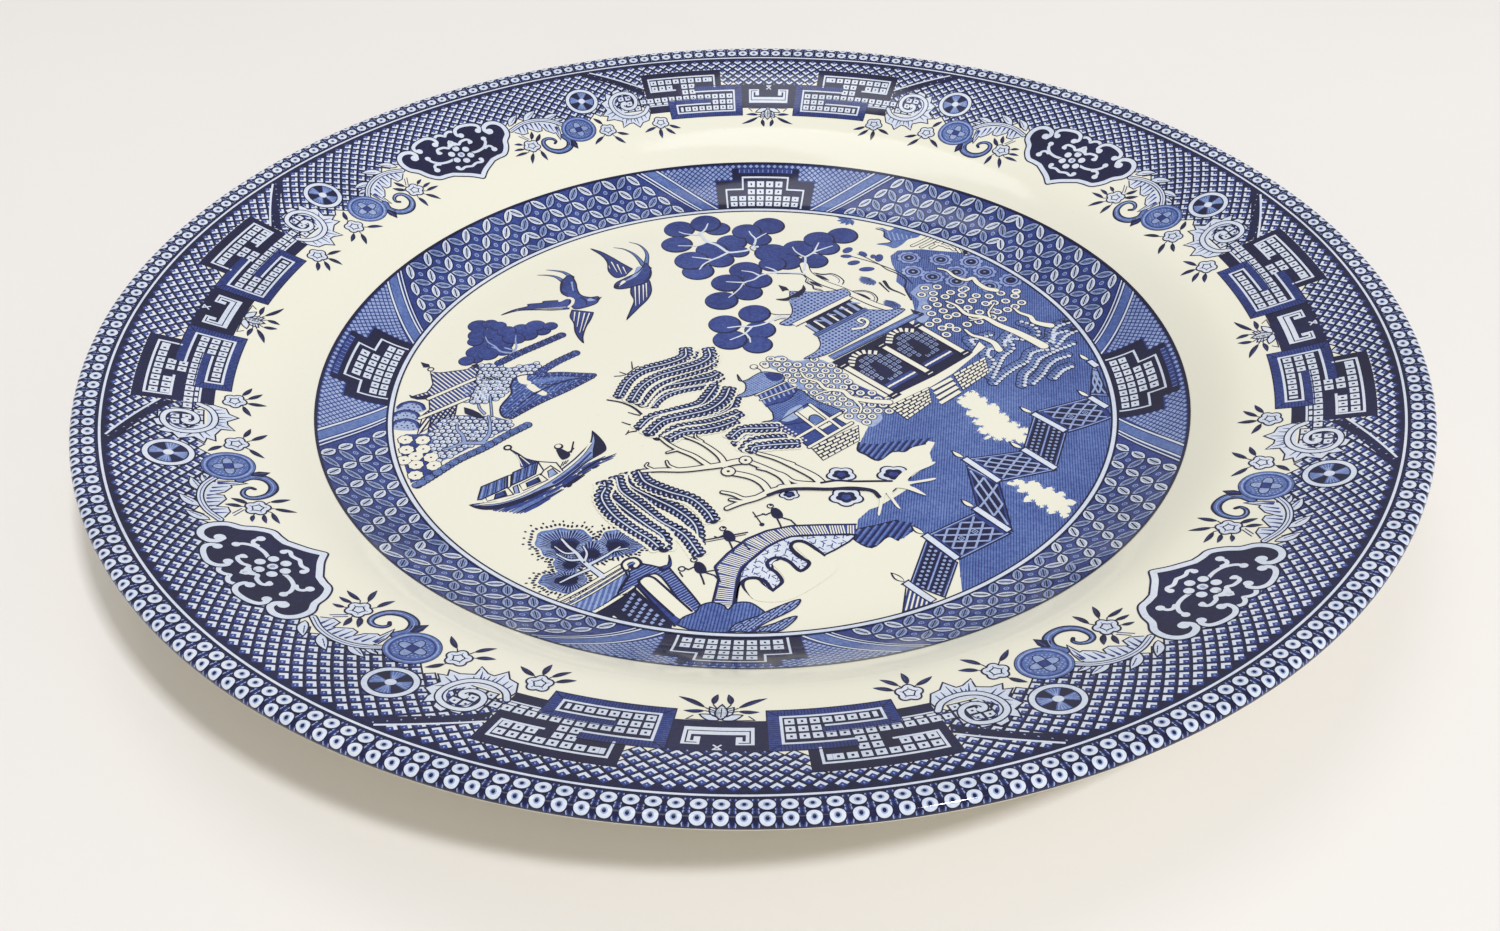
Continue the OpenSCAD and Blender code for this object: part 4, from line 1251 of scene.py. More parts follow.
# boughs
for pts, a, b in (([(240, 210), (262, 235), (290, 258), (330, 282), (356, 306), (376, 326)], .5, 1.0), ([(206, 350), (250, 344), (310, 342), (365, 330), (410, 318), (440, 306), (470, 300)], .7, 1.6),
                  ([(300, 200), (345, 226), (380, 258), (404, 290), (416, 326)], .4, 1.1), ([(350, 222), (332, 205), (330, 190)], .4, .2), ([(290, 258), (262, 272)], .5, .2),
                  ([(292, 340), (272, 326), (264, 308)], .6, .2), ([(232, 344), (214, 330), (216, 318)], .5, .2),
                  ([(470, 300), (520, 330), (560, 360), (578, 396), (560, 404)], .9, 1.2), ([(425, 348), (480, 364), (512, 388), (530, 420)], 1.2, 1.2),
                  ([(498, 268), (545, 288), (590, 318), (640, 356), (662, 384)], .6, 1.5), ([(590, 310), (572, 300), (560, 300)], .6, .2),
                  ([(500, 330), (560, 350), (592, 380), (640, 388)], .3, .8),
                  ([(430, 490), (462, 468), (500, 448), (540, 420), (600, 400), (660, 394), (720, 392), (780, 392), (830, 394)], .8, 2.7),
                  ([(414, 428), (442, 436), (470, 452), (500, 446)], .5, .9), ([(436, 456), (460, 462), (480, 460)], .4, .6)):
    ribbon(34, wig(pts, 5), a, b, .3)
for c, r in (((467, 298), 1.15), ((425, 345), 1.25)):
    D("navy", 36, *Q(5, [c])[0], r + .3, 18)
    D("white", 37, *Q(5, [c])[0], r, 18)
    D("navy", 38, *Q(5, [c])[0], .34, 10)
F("white", 36, wig([(640, 384), (700, 378), (790, 376), (840, 372), (864, 340), (900, 310), (950, 290), (944, 304), (900, 336), (880, 372), (946, 356), (940, 366), (884, 384), (900, 400), (922, 424), (908, 420),
                    (874, 402), (846, 400), (838, 430), (856, 476), (846, 470), (828, 430), (820, 424), (806, 500), (800, 498), (806, 440), (790, 412), (740, 404), (660, 410), (600, 412)], 5, 4))
S("navy", 37, wig([(662, 384), (700, 374), (740, 376), (790, 374), (838, 372)], 5), .62)
S("navy", 37, wig([(530, 436), (570, 414), (620, 408), (680, 408), (740, 402), (788, 410), (806, 434)], 5), .85)
for (x, y), r in (((712, 348), 2.9), ((845, 342), 3.3), ((724, 436), 3.3), ((582, 430), 1.9)):
    cx, cy = Q(5, [(x, y)])[0]
    a = np.linspace(0, 2 * pi, 50, endpoint=False)
    rr_ = r * (.8 + .22 * np.abs(np.cos(2.5 * a + .8)))
    for tone, lev, k, e in (("navy", 12, 1.0, .16), ("pale", 13, .92, 0), ("navy", 14, .62, 0), ("blue", 15, .3, 0)):
        F(tone, lev, np.c_[cx + (rr_ * k + e) * np.cos(a), cy + (rr_ * k + e) * .82 * np.sin(a)])

# ---- bridge with three plain walking figures
OUT = [(412, 700), (440, 652), (482, 600), (530, 568), (590, 548), (664, 542), (746, 538)]
INN = [(466, 832), (470, 760), (492, 690), (528, 640), (590, 590), (664, 580), (745, 578)]
par = Q(5, OUT) + Q(5, [(745, 576), (664, 580), (590, 588), (528, 636), (490, 690), (450, 700)])
F("blue", 8, Q(5, [(412, 700), (440, 652), (482, 600), (530, 568), (590, 548), (664, 542), (746, 538), (746, 576), (664, 580), (590, 588), (540, 626), (488, 690), (470, 740), (462, 832), (418, 832), (424, 740)]))
m0, _ = along(Q(5, [(414, 830), (424, 740), (412, 700), (440, 652), (482, 600), (530, 568), (590, 548), (664, 542), (746, 538)]), .5)
m1, _ = along(Q(5, [(464, 830), (468, 745), (478, 700), (492, 682), (534, 628), (560, 606), (590, 588), (664, 580), (746, 576)]), .5)
for i in range(70):
    t = (i + .5) / 70
    a, b = m0[int(t * (len(m0) - 1))], m1[int(t * (len(m1) - 1))]
    S("white", 9, [a + (b - a) * .1, a + (b - a) * .9], .26, caps=False)
S("navy", 10, m0, .42)
S("navy", 10, m1, .42)
stone = wig([(468, 832), (470, 780), (480, 745), (500, 735), (520, 742), (545, 776), (572, 742), (552, 710), (548, 690), (556, 675), (575, 665), (600, 690), (614, 710), (634, 682), (600, 640),
             (590, 616), (604, 604), (628, 612), (650, 634), (668, 652), (745, 580), (664, 580), (590, 588), (534, 628), (492, 682), (474, 720)], 5, 3)
F("pale", 8, stone)
S("navy", 10, stone, .42, closed=True)
for ang, st in ((20, 1.5), (80, 1.6), (140, 1.45)):
    for k, (a, b) in enumerate(spans(stone, ang, st)):
        L = np.hypot(*(b - a))
        n = max(1, int(L / 1.1))
        for j in range(n):
            if (j + k) % 2:
                S("blue", 9, [a + (b - a) * j / n, a + (b - a) * (j + 1) / n], .2, caps=False)
for pts in ([(508, 800), (484, 765), (486, 742), (510, 735), (534, 748), (552, 776), (572, 748), (558, 716), (540, 700), (536, 680), (556, 664), (586, 676), (614, 708), (634, 680), (606, 656), (590, 628), (596, 608), (616, 604), (640, 620), (668, 652)],):
    S("navy", 11, wig(pts, 5, 4), .75)
F("white", 11, wig([(545, 776), (520, 752), (500, 742), (486, 752), (492, 780), (520, 812), (600, 800), (700, 700), (668, 656), (640, 630), (614, 614), (602, 626), (620, 652), (640, 684), (614, 714), (586, 688), (560, 676),
                    (548, 688), (566, 712), (578, 746), (552, 782)], 5, 4))


def walker(s, x, y, k=1.0, prop=0):
    """A small generic figure in silhouette."""
    f = lambda pts: Q(s, [(x + a * k, y + b * k) for a, b in pts])
    F("navy", 13, curve(f([(-14, -14), (-4, -20), (8, -12), (16, 4), (14, 18), (-2, 20), (-12, 8)]), 4, closed=True))
    c = f([(-16, -26)])[0]
    D("navy", 13, *c, .72 * k, 12)
    D("white", 14, *c, .46 * k, 10)
    D("navy", 15, c[0] + .1, c[1] + .25, .34 * k, 8)
    S("navy", 13, f([(12, 16), (36, 26), (52, 48)]), .34)
    S("navy", 13, f([(2, 20), (10, 42), (14, 56)]), .34)
    S("navy", 13, f([(-10, -4), (-26, 8), (-34, 4)]), .34)
    if prop == 0:
        S("navy", 13, f([(-30, 4), (-52, 16)]), .3)
        D("navy", 13, *f([(-34, 44)])[0], .5, 10)
        S("navy", 13, f([(-58, -2), (-36, 40)]), .26)
    elif prop == 1:
        S("navy", 13, f([(-60, 18), (44, -14)]), .34)
        S("navy", 13, f([(-60, 26), (40, -6)]), .2)
    else:
        centre.ring("navy", 13, *f([(-42, 6)])[0], .45, .75, 14)
        S("navy", 13, f([(-46, 18), (-38, 32)]), .3)
        S("navy", 13, f([(14, 14), (44, 6)]), .3)


walker(5, 552, 502, 1.0, 0)
walker(5, 440, 590, 1.0, 1)
walker(5, 378, 704, 1.0, 2)

# ---- gate at the near end of the bridge
g1 = Q(5, [(75, 845), (212, 705), (216, 740), (196, 800), (150, 868), (100, 858)])
F("mid", 8, g1)
hatch("light", 9, g1, 84, .95, .42)
S("navy", 10, g1, .3, closed=True)
for k, w in ((0, .6), (14, .4), (26, .3)):
    ribbon(10, Q(5, [(64 + k, 832 + k * .6), (196 + k * .8, 700 + k * .5)]), w, edge=.22)
g2 = Q(5, [(150, 868), (228, 772), (330, 888), (330, 910), (250, 900), (190, 884)])
F("navy", 8, g2)
for k in range(6):
    for j in range(5):
        x, y = 232 + 15 * k - 4 * j, 800 + 17 * k + 13 * j
        if y < 900 and x < 322:
            p = Q(5, [(x, y)])[0]
            F("light", 9, [(p[0] - .4, p[1]), (p[0], p[1] + .5), (p[0] + .5, p[1]), (p[0], p[1] - .5)])
ribbon(10, Q(5, [(150, 866), (230, 776)]), .6, edge=.24)
ribbon(10, Q(5, [(196, 878), (216, 900)]), .4, edge=.24)
roof = wig([(196, 700), (210, 680), (228, 678), (240, 694), (262, 700), (284, 706), (300, 700), (312, 716), (388, 830), (384, 852), (366, 860), (292, 740), (262, 732), (246, 744), (238, 770), (212, 800), (196, 796), (212, 740)], 5, 4)
F("blue", 9, roof)
hatch("light", 10, roof, 40, .62, .16)
S("navy", 11, roof, .4, closed=True)
F("blue", 9, Q(5, [(238, 770), (252, 742), (352, 870), (336, 905), (330, 888)]))
S("navy", 11, Q(5, [(238, 772), (336, 902)]), .5)
door = wig([(246, 768), (244, 748), (256, 738), (272, 742), (292, 762), (384, 862), (352, 880), (320, 852)], 5, 4)
F("white", 12, door)
S("navy", 13, wig([(330, 866), (246, 768), (244, 748), (256, 738), (272, 742), (292, 762), (370, 850)], 5, 4), .5)
S("navy", 12, wig([(206, 716), (198, 700), (206, 684), (222, 680), (234, 692), (230, 706), (220, 708)], 5), 1.2)
S("white", 13, wig([(206, 712), (201, 699), (208, 688), (221, 684), (230, 694), (226, 704)], 5), .7)
S("navy", 12, wig([(290, 712), (304, 702), (306, 684), (302, 664)], 5), 1.3, .3)
S("blue", 13, wig([(294, 708), (306, 698), (308, 684)], 5), .6, .2)
mound = wig([(340, 898), (352, 872), (380, 852), (388, 832), (412, 820), (440, 828), (452, 842), (468, 820), (500, 818), (524, 836), (536, 852), (532, 880), (500, 900), (470, 918), (420, 922), (370, 914)], 5, 4)
F("mid", 12, mound)
hatch("blue", 13, mound, 84, .6, .26)
S("navy", 14, mound, .32, closed=True)
for pts in ([(456, 916), (470, 892), (500, 872), (520, 862), (540, 846), (580, 820), (614, 804), (608, 826), (586, 848), (556, 870), (530, 892), (510, 918)],
            [(506, 918), (530, 900), (560, 884), (584, 868), (608, 860), (596, 884), (570, 912), (540, 914)]):
    r_ = wig(pts, 5, 4)
    F("light", 15, r_)
    hatch("blue", 16, r_, 50, .55, .26)
    dots("navy", 17, r_, .9, .2)
    S("navy", 17, r_, .3, closed=True)

# ---- bush of radiating strokes by the gate
lobes = [(*Q(4, [(cx, cy)])[0], r, sq) for cx, cy, r, sq in ((588, 652, 6.2, .84), (726, 650, 5.2, .86), (660, 684, 4.6, .8), (612, 788, 5.2, .7), (612, 728, 3.4, .8))]
root = np.array(Q(4, [(672, 748)])[0])
for i, (x, y, r, sq) in enumerate(lobes):
    n = int(r * 7)
    aa_ = np.linspace(0, 2 * pi, n, endpoint=False)
    rr_ = r * (.82 + .07 * np.sin(3 * aa_ + 1.7 * i) + .04 * np.sin(8 * aa_ + 2 * i))
    o_ = np.c_[x + rr_ * np.cos(aa_), y + sq * rr_ * np.sin(aa_)]
    c_ = np.array([x, y]) + (root - [x, y]) * .2
    F("mid", 5, o_)
    F("blue", 6, c_ + (o_ - c_) * .8)
    F("navy", 7, c_ + (o_ - c_) * .36)
    for k, q in enumerate(o_):
        d = q - c_
        S("navy", 8, [c_ + d * .3, c_ + d * (.84 + .1 * sin(5 * k))], .14, .32, caps=False)
        e = np.array([-d[1], d[0]]) * .07
        S("light", 9, [c_ + d * .5 + e, c_ + d * .92 + e], .1, .24, caps=False)
        for f, g in ((1.16, .4), (1.36, .3)):
            w_ = c_ + d * f
            if all(np.hypot(w_[0] - a, (w_[1] - b) / c) > .9 * h for j, (a, b, h, c) in enumerate(lobes) if j != i) and (f < 1.2 or k % 2):
                D("navy", 10, *w_, g, 8, g * .62, math.atan2(d[1], d[0]))
for pts, a, b in (([(700, 768), (672, 742), (646, 716), (628, 690), (606, 668), (584, 640)], 1.0, .34), ([(640, 712), (612, 714), (580, 694)], .5, .24), ([(660, 730), (690, 704), (728, 664)], .66, .26),
                  ([(668, 742), (632, 768), (604, 792)], .6, .3), ([(626, 688), (600, 690), (572, 668)], .4, .2), ([(700, 696), (716, 678), (748, 668)], .4, .2), ([(650, 720), (652, 690), (640, 664)], .5, .24)):
    S("navy", 11, wig(pts, 4), a + .5, b + .4)
    S("pale", 12, wig(pts, 4), a, b)

# ---- boat, its boatman and the broken reflections
def B(pts):
    """Boat drawing units to the plate's plan."""
    return Q(4, [(.5635 * x + .1584 * y + 169.4, -.0414 * x + .8381 * y + 194.4) for x, y in pts])


def bw(pts, k=3):
    return wig([(.5635 * x + .1584 * y + 169.4, -.0414 * x + .8381 * y + 194.4) for x, y in pts], 4, k)


keel = [(185, 398), (215, 412), (260, 420), (330, 415), (420, 388), (500, 352), (580, 308), (650, 258), (720, 205), (785, 168)]
gun = [(752, 55), (748, 85), (735, 120), (700, 155), (660, 193), (620, 225), (570, 262), (510, 300), (450, 335), (380, 362), (320, 380), (260, 390), (220, 394), (185, 398)]
k_ = np.array(keel, float)
kx = np.linspace(290, 800, 60)
ky = np.interp(kx, k_[:, 0], k_[:, 1])
for j in range(12):
    x = 268 + 13 * j + rng.uniform(0, 14)
    end = (540, 600, 660, 730, 800, 852, 846, 836, 770, 700, 640, 540)[j]
    while x < end - 20:
        x1 = min(x + rng.uniform(90, 240), end)
        q = [(u, np.interp(u, k_[:, 0], k_[:, 1]) * .35 + (442 - .53 * (u - 290)) * .65 + 7.2 * j - 16 + rng.uniform(-1.5, 1.5)) for u in (x, (x + x1) / 2, x1)]
        S(("blue", "mid", "navy", "blue", "blue")[(j + int(x)) % 5], 3 + j % 3, B(q), [.34, .6, .2], caps=False)
        x = x1 + rng.uniform(4, 16)
hull = np.vstack([bw(keel), bw([(785, 168), (805, 150), (800, 120), (778, 85), (752, 55)]), bw(gun)])
F("light", 8, hull)
F("navy", 9, np.vstack([bw([(752, 55), (778, 85), (800, 120), (806, 150), (785, 168), (742, 190)]), bw([(742, 190), (745, 150), (757, 105), (752, 55)])]))
F("navy", 9, np.vstack([bw(keel[:7]), bw([(580, 308), (500, 336), (420, 370), (330, 396), (260, 404), (185, 398)])]))
S("blue", 9, bw([(560, 306), (620, 266), (690, 208), (735, 165)]), .8, .5)
for a in range(12):
    x = 590 + 12 * a
    S("navy", 10, B([(x, 292 - .72 * (x - 590)), (x + 30, 270 - .72 * (x - 590))]), .16)
S("navy", 10, hull, .34, closed=True)
S("white", 11, bw([(232, 398), (320, 388), (400, 365), (480, 327), (560, 281), (640, 222), (700, 168), (738, 118)]), .5)
S("navy", 12, bw([(225, 401), (320, 394), (402, 371), (482, 333), (562, 287), (642, 228), (702, 174), (742, 122)]), .16)
F("white", 10, B([(238, 378), (300, 345), (352, 268), (368, 262), (376, 255), (490, 203), (575, 212), (602, 248), (560, 276), (480, 322), (400, 358), (320, 384), (250, 390)]))
for q in ([(220, 376), (236, 316), (352, 268), (350, 322), (300, 346), (238, 374)], [(370, 306), (378, 252), (492, 202), (478, 262), (430, 286), (372, 312)]):
    F("mid", 12, B(q))
    a, b, c, d = [np.array(v, float) for v in (q[0], q[1], q[2], q[3])]
    for k in range(11):
        u = k / 10
        S("navy" if k % 3 == 0 else ("light" if k % 3 == 1 else "blue"), 13, B([b + (c - b) * u, (a + (d - a) * u)]), .2, caps=False)
    S("navy", 14, B(q), .36, closed=True)
for q in ([(492, 202), (575, 210), (602, 250)], [(492, 204), (516, 246), (548, 224), (590, 256)], [(516, 246), (500, 268)], [(353, 268), (369, 262), (366, 318), (352, 326), (353, 268)]):
    S("navy", 14, B(q), .3)
for q, r in (([(262, 384), (254, 366), (352, 322), (378, 356)], [(290, 376), (296, 352), (342, 334), (352, 360)]),
             ([(384, 352), (376, 322), (396, 312), (404, 348)], None),
             ([(420, 340), (404, 310), (500, 262), (532, 292)], [(438, 326), (432, 304), (492, 276), (504, 300)]),
             ([(538, 282), (534, 250), (556, 238), (578, 262)], None)):
    S("navy", 13, B(q), .26, closed=True)
    if r:
        F("navy", 14, B(r))
        F("blue", 15, B([(r[0][0] + 8, r[0][1] - 4), (r[1][0] + 8, r[1][1]), (r[2][0] - 14, r[2][1] + 6), (r[3][0] - 14, r[3][1] - 4)]))
    else:
        F("light", 12, B(q))
# pennant
F("blue", 12, B([(362, 138), (402, 160), (440, 184), (496, 202), (440, 224), (412, 228), (408, 196), (392, 164)]))
for k in range(4):
    S("white" if k % 2 == 0 else "navy", 13, B([(396 + 8 * k, 166 + 4 * k), (420 + 16 * k, 220 - 4 * k)]), .2)
S("navy", 13, bw([(366, 138), (402, 160), (440, 188), (494, 202)]), .34)
centre.ring("navy", 12, *B([(355, 128)])[0], .5, .92, 14)
# boatman: a head, a rounded body, an arm and a pole
F("navy", 13, bw([(576, 146), (596, 140), (618, 150), (640, 166), (634, 184), (604, 196), (588, 178)], 4))
S("navy", 13, bw([(616, 160), (640, 158), (658, 140)]), .5, .34)
S("navy", 13, B([(660, 108), (646, 160)]), .34)
D("navy", 13, *B([(590, 130)])[0], .95, 14)
D("white", 14, *B([(588, 128)])[0], .6, 12)
for k in range(3):
    S("navy", 12, B([(606 + 12 * k, 206 - 4 * k), (592 + 12 * k, 232 - 8 * k)]), .22)

# ---- the far shore at the left
# orchard of pale berries and its stems
def berries(lev, polys, step, r, ground="mid", s=4, eye=False):
    for pl in polys:
        pl = Q(s, pl)
        F(ground, lev, pl)
        p = np.asarray(pl)
        (x0, y0), (x1, y1) = p.min(0), p.max(0)
        i = 0
        y = y0
        while y < y1:
            x = x0 + (i % 2) * step / 2
            while x < x1:
                u, v = x + rng.uniform(-.15, .15), y + rng.uniform(-.15, .15)
                if inside(pl, u, v):
                    D("navy", lev + 1, u, v, r + .2, 12)
                    D("pale", lev + 2, u, v, r, 12)
                    D("light", lev + 3, u - r * .2, v - r * .3, r * .45, 8)
                x += step
            y += step * .87
            i += 1


berries(4, [[(212, 6), (240, -20), (300, -30), (332, -10), (326, 40), (300, 90), (262, 100), (230, 80)],
            [(172, 168), (200, 150), (260, 148), (320, 150), (378, 170), (384, 200), (340, 240), (300, 280), (262, 320), (215, 360), (190, 300), (180, 250), (160, 232), (184, 214), (170, 190)]], 1.36, .56)
berries(4, [[(212, 930), (240, 912), (300, 936), (380, 905), (396, 930), (380, 966), (330, 985), (326, 1040), (300, 1090), (262, 1102), (230, 1090), (212, 1040), (222, 985)]], 1.4, .58, s=1)
for x, y in ((115, 265), (160, 262), (128, 308), (170, 300), (158, 332), (132, 354), (198, 334), (213, 368), (167, 368), (176, 412)):
    cx, cy = Q(4, [(x, y)])[0]
    a = np.linspace(0, 2 * pi, 30, endpoint=False)
    rr_ = 1.42 * (1 + .06 * np.cos(8 * a))
    F("navy", 6, np.c_[cx + (rr_ + .2) * np.cos(a), cy + (rr_ + .2) * np.sin(a)])
    F("white", 7, np.c_[cx + rr_ * np.cos(a), cy + rr_ * np.sin(a)])
    D("navy", 8, cx, cy, .24, 8)
F("blue", 4, Q(4, [(96, 262), (110, 240), (184, 232), (210, 300), (236, 370), (200, 420), (172, 445), (150, 400), (120, 330)]))
for pts, a, b in (([(330, 268), (300, 270), (268, 272), (240, 292), (222, 300)], 1.0, .4), ([(318, 270), (330, 230), (322, 180), (312, 150)], .8, .3), ([(272, 270), (262, 240), (242, 214), (236, 190)], .8, .3),
                  ([(300, 140), (284, 120), (276, 100)], .5, .3), ([(300, 60), (310, 100), (322, 150)], .3, .3)):
    ribbon(9, wig(pts, 4), a, b, .18, fill="light")
scalloped(9, wig([(424, 188), (372, 240), (330, 288), (272, 342), (230, 396), (190, 452)], 4), 1.9, edge="navy", tone="mid", dot="light")
# stippled hill, logs and trees
hill = wig([(322, 1000), (340, 972), (395, 965), (440, 960), (500, 962), (545, 965), (520, 1000), (470, 1040), (420, 1090), (370, 1140), (345, 1172), (322, 1160), (312, 1120), (330, 1060), (322, 1030)], 1, 3)
F("blue", 6, hill)
hatch("mid", 7, hill, 62, .8, .3)
dots("light", 7, hill, 1.5, .26, .3)
S("navy", 9, hill, .42, closed=True)
for k in range(4):
    q = wig([(340 + 22 * k, 1150 - 44 * k), (372 + 22 * k, 1092 - 26 * k), (410 + 20 * k, 1040 - 14 * k), (470 + 14 * k, 994 - 4 * k)], 1)
    S("navy", 9, q + np.array([0, .22])[None] if k else q, .2, .34)
S("mid", 7, wig([(392, 1000), (440, 986), (500, 980)], 1), 1.6, .8)
S("white", 8, wig([(345, 975), (352, 1000), (368, 1008)], 1), 2.2, 1.4)
S("white", 8, wig([(378, 1024), (396, 1042), (420, 1058)], 1), 1.8, 1.4)
scalloped(8, wig([(395, 968), (450, 962), (500, 964), (544, 966)], 1), 1.3)
scalloped(8, wig([(540, 974), (480, 1036), (410, 1100), (350, 1166)], 1), 1.3)
scalloped(10, wig([(270, 912), (320, 860), (370, 815), (424, 766)], 1), 2.0)
scalloped(10, wig([(392, 956), (430, 905), (478, 858)], 1), 2.0)
for i, (x, y, r) in enumerate(((172, 722, 27), (205, 712, 20), (232, 722, 20), (185, 770, 30), (230, 760, 32), (262, 750, 24), (300, 735, 22), (340, 718, 26), (385, 718, 18), (365, 742, 22), (325, 765, 28),
                               (285, 785, 26), (210, 815, 32), (255, 820, 34), (180, 805, 20), (195, 860, 28), (230, 870, 26), (175, 905, 20), (200, 895, 18), (270, 850, 22), (300, 790, 20))):
    fruit(2 + (i % 3) * 2, 1, x, y, r + 2)
for pts, a, b in (([(300, 862), (265, 856), (240, 828), (218, 808), (204, 780)], .7, .2), ([(300, 858), (304, 830), (296, 800), (292, 770)], .6, .2), ([(272, 836), (296, 846)], .5, .4), ([(250, 842), (232, 832)], .4, .2)):
    S("light", 9, wig(pts, 1), a, b)
# house with striped roofs
for q, ang in (([(84, 962), (110, 966), (150, 956), (186, 946), (206, 922), (216, 990), (112, 1090), (60, 1084), (96, 1060), (104, 1020)], 80),
               ([(110, 1094), (214, 994), (224, 1062), (190, 1110), (196, 1184), (140, 1240), (136, 1180), (106, 1176), (122, 1140)], 80)):
    q = wig(q, 1, 2)
    F("white", 5, q)
    hatch("blue", 6, q, ang + 55, .86, .54)
    S("navy", 7, q, .3, closed=True)
F("navy", 8, wig([(50, 1076), (72, 1084), (104, 1070), (112, 1084), (84, 1096), (58, 1090)], 1, 3))
for a, b in (((108, 1090), (214, 994)), ((104, 1180), (216, 1084))):
    ribbon(8, Q(1, [a, b]), .8, edge=.26)
F("navy", 7, Q(1, [(46, 918), (72, 926), (78, 940), (60, 944)]))
centre.ring("navy", 7, *Q(1, [(82, 950)])[0], .5, .8, 14)
F("navy", 7, Q(1, [(192, 926), (208, 916), (214, 930), (204, 944)]))
wall = Q(4, [(135, 150), (216, 84), (222, 150), (190, 170), (140, 240)])
F("white", 5, wall)
hatch("navy", 6, wall, 78, .9, .42)
S("navy", 7, wall, .26, closed=True)
F("navy", 8, wig([(238, 112), (262, 122), (290, 142), (300, 162), (276, 158), (246, 140)], 4, 3))
S("white", 9, Q(4, [(268, 118), (316, 152)]), .9, .7)
# mounds by the rim of the picture
for c in ((96, 118), (92, 160), (100, 200)):
    q = curve(Q(4, [(c[0] - 36, c[1] + 22), (c[0] - 30, c[1] - 10), (c[0] - 4, c[1] - 24), (c[0] + 26, c[1] - 12), (c[0] + 38, c[1] + 14), (c[0] + 10, c[1] + 24)]), 5, closed=True)
    F("light", 4, q)
    dots("navy", 5, q, 1.1, .22, .2)
    S("blue", 6, wig([(c[0] - 34, c[1] + 6), (c[0] - 26, c[1] - 12), (c[0] - 4, c[1] - 24), (c[0] + 24, c[1] - 14), (c[0] + 36, c[1] + 6)], 4), .9)
    S("navy", 7, wig([(c[0] - 34, c[1] + 2), (c[0] - 26, c[1] - 16), (c[0] - 4, c[1] - 28), (c[0] + 24, c[1] - 18), (c[0] + 36, c[1] + 2)], 4), .24)

# ---- twigs of the willow, and the small pavilion with its ringed leaves
for pts, a, b in (([(78, 42), (120, 54), (158, 80), (190, 122)], .4, .6), ([(142, 98), (166, 108), (188, 112)], .25, .4), ([(130, 142), (146, 150), (168, 158)], .25, .4),
                  ([(146, 196), (154, 186), (172, 180)], .25, .4), ([(152, 178), (148, 192)], .25, .2), ([(84, -70), (114, -78), (136, -110), (146, -120)], .25, .4),
                  ([(124, -144), (130, -110)], .2, .35), ([(96, -92), (114, -82)], .2, .3), ([(290, 204), (320, 214), (345, 212)], .4, .5)):
    S("navy", 15, wig(pts, 5), a, b)
leaves7 = wig([(440, 130), (470, 96), (500, 86), (530, 112), (600, 102), (640, 130), (672, 170), (700, 215), (760, 262), (800, 300), (808, 345), (770, 352), (772, 380), (745, 416), (715, 400), (690, 380),
               (650, 345), (600, 335), (560, 300), (545, 240), (515, 190), (490, 165)], 7, 3)
F("light", 5, leaves7)
F("blue", 6, Q(7, [(688, 212), (760, 262), (800, 300), (800, 340), (720, 320), (668, 250)]))
i = 0
y = -15.6
while y < 11:
    x = -1 + (i % 2) * 1.2
    while x < 30.6:
        u, v = x + rng.uniform(-.18, .18), y + rng.uniform(-.18, .18)
        if inside(leaves7, u, v):
            D("navy", 7, u, v, 1.12, 16)
            D("white", 8, u, v, .92, 16)
            D("blue", 9, u, v, .5, 12)
            D("pale", 10, u, v, .2, 8)
        x += 2.4
    y += 2.05
    i += 1
for c in ((452, 140), (486, 105), (419, 145)):
    x, y = Q(7, [c])[0]
    D("navy", 7, x, y, .95, 16)
    D("white", 8, x, y, .72, 16)
for pts, a, b in (([(552, 170), (566, 196), (600, 214), (620, 245), (668, 256), (690, 285), (740, 300), (792, 304)], .4, 1.5), ([(700, 296), (716, 330), (712, 356)], .7, .3), ([(640, 252), (612, 262), (590, 280)], .5, .3)):
    ribbon(14, wig(pts, 7), a, b, .2)
up = wig([(374, 184), (382, 214), (402, 210), (422, 188), (444, 170), (474, 172), (500, 182), (504, 212), (470, 244), (436, 272), (402, 290), (374, 290), (398, 268), (400, 232), (388, 214)], 7, 4)
F("mid", 11, up)
hatch("light", 12, up, 45, .62, .22)
hatch("light", 12, up, -45, .62, .22)
F("blue", 13, wig([(448, 176), (476, 172), (500, 186), (498, 206), (476, 214), (458, 200)], 7, 3))
S("navy", 13, up, .3, closed=True)
S("navy", 13, wig([(440, 172), (438, 160), (424, 148)], 7), .22)
mid7 = Q(7, [(432, 276), (508, 212), (548, 250), (520, 300), (460, 336)])
F("blue", 11, mid7)
for k in range(7):
    S("light", 12, Q(7, [(440 + 13 * k, 272 - 9 * k), (456 + 13 * k, 318 - 9 * k)]), .42)
for k in (0, 22):
    ribbon(13, Q(7, [(430 + k * .6, 282 + k), (508 + k * 1.4, 218 + k)]), .3, edge=.2)
low7 = wig([(462, 330), (520, 300), (548, 252), (590, 300), (640, 330), (668, 352), (640, 372), (600, 380), (560, 402), (520, 412), (480, 412), (452, 404), (480, 392), (478, 360)], 7, 4)
F("blue", 10, low7)
hatch("mid", 11, low7, 45, .6, .22)
hatch("mid", 11, low7, -45, .6, .22)
S("navy", 12, low7, .3, closed=True)
F("light", 12, wig([(520, 350), (552, 322), (560, 346), (548, 380), (520, 400), (500, 396)], 7, 3))
pav = Q(6, [(0, 128), (78, 44), (120, 74), (186, 138), (84, 238), (50, 196), (0, 160)])
F("blue", 11, pav)
S("navy", 12, pav, .3, closed=True)
F("white", 13, Q(6, [(44, 92), (80, 56), (130, 108), (150, 128), (118, 158), (96, 140)]))
F("mid", 14, wig([(82, 122), (84, 102), (98, 94), (112, 104), (128, 128), (112, 148)], 6, 4))
S("navy", 15, wig([(82, 122), (84, 102), (98, 94), (112, 104), (132, 130)], 6), .3)
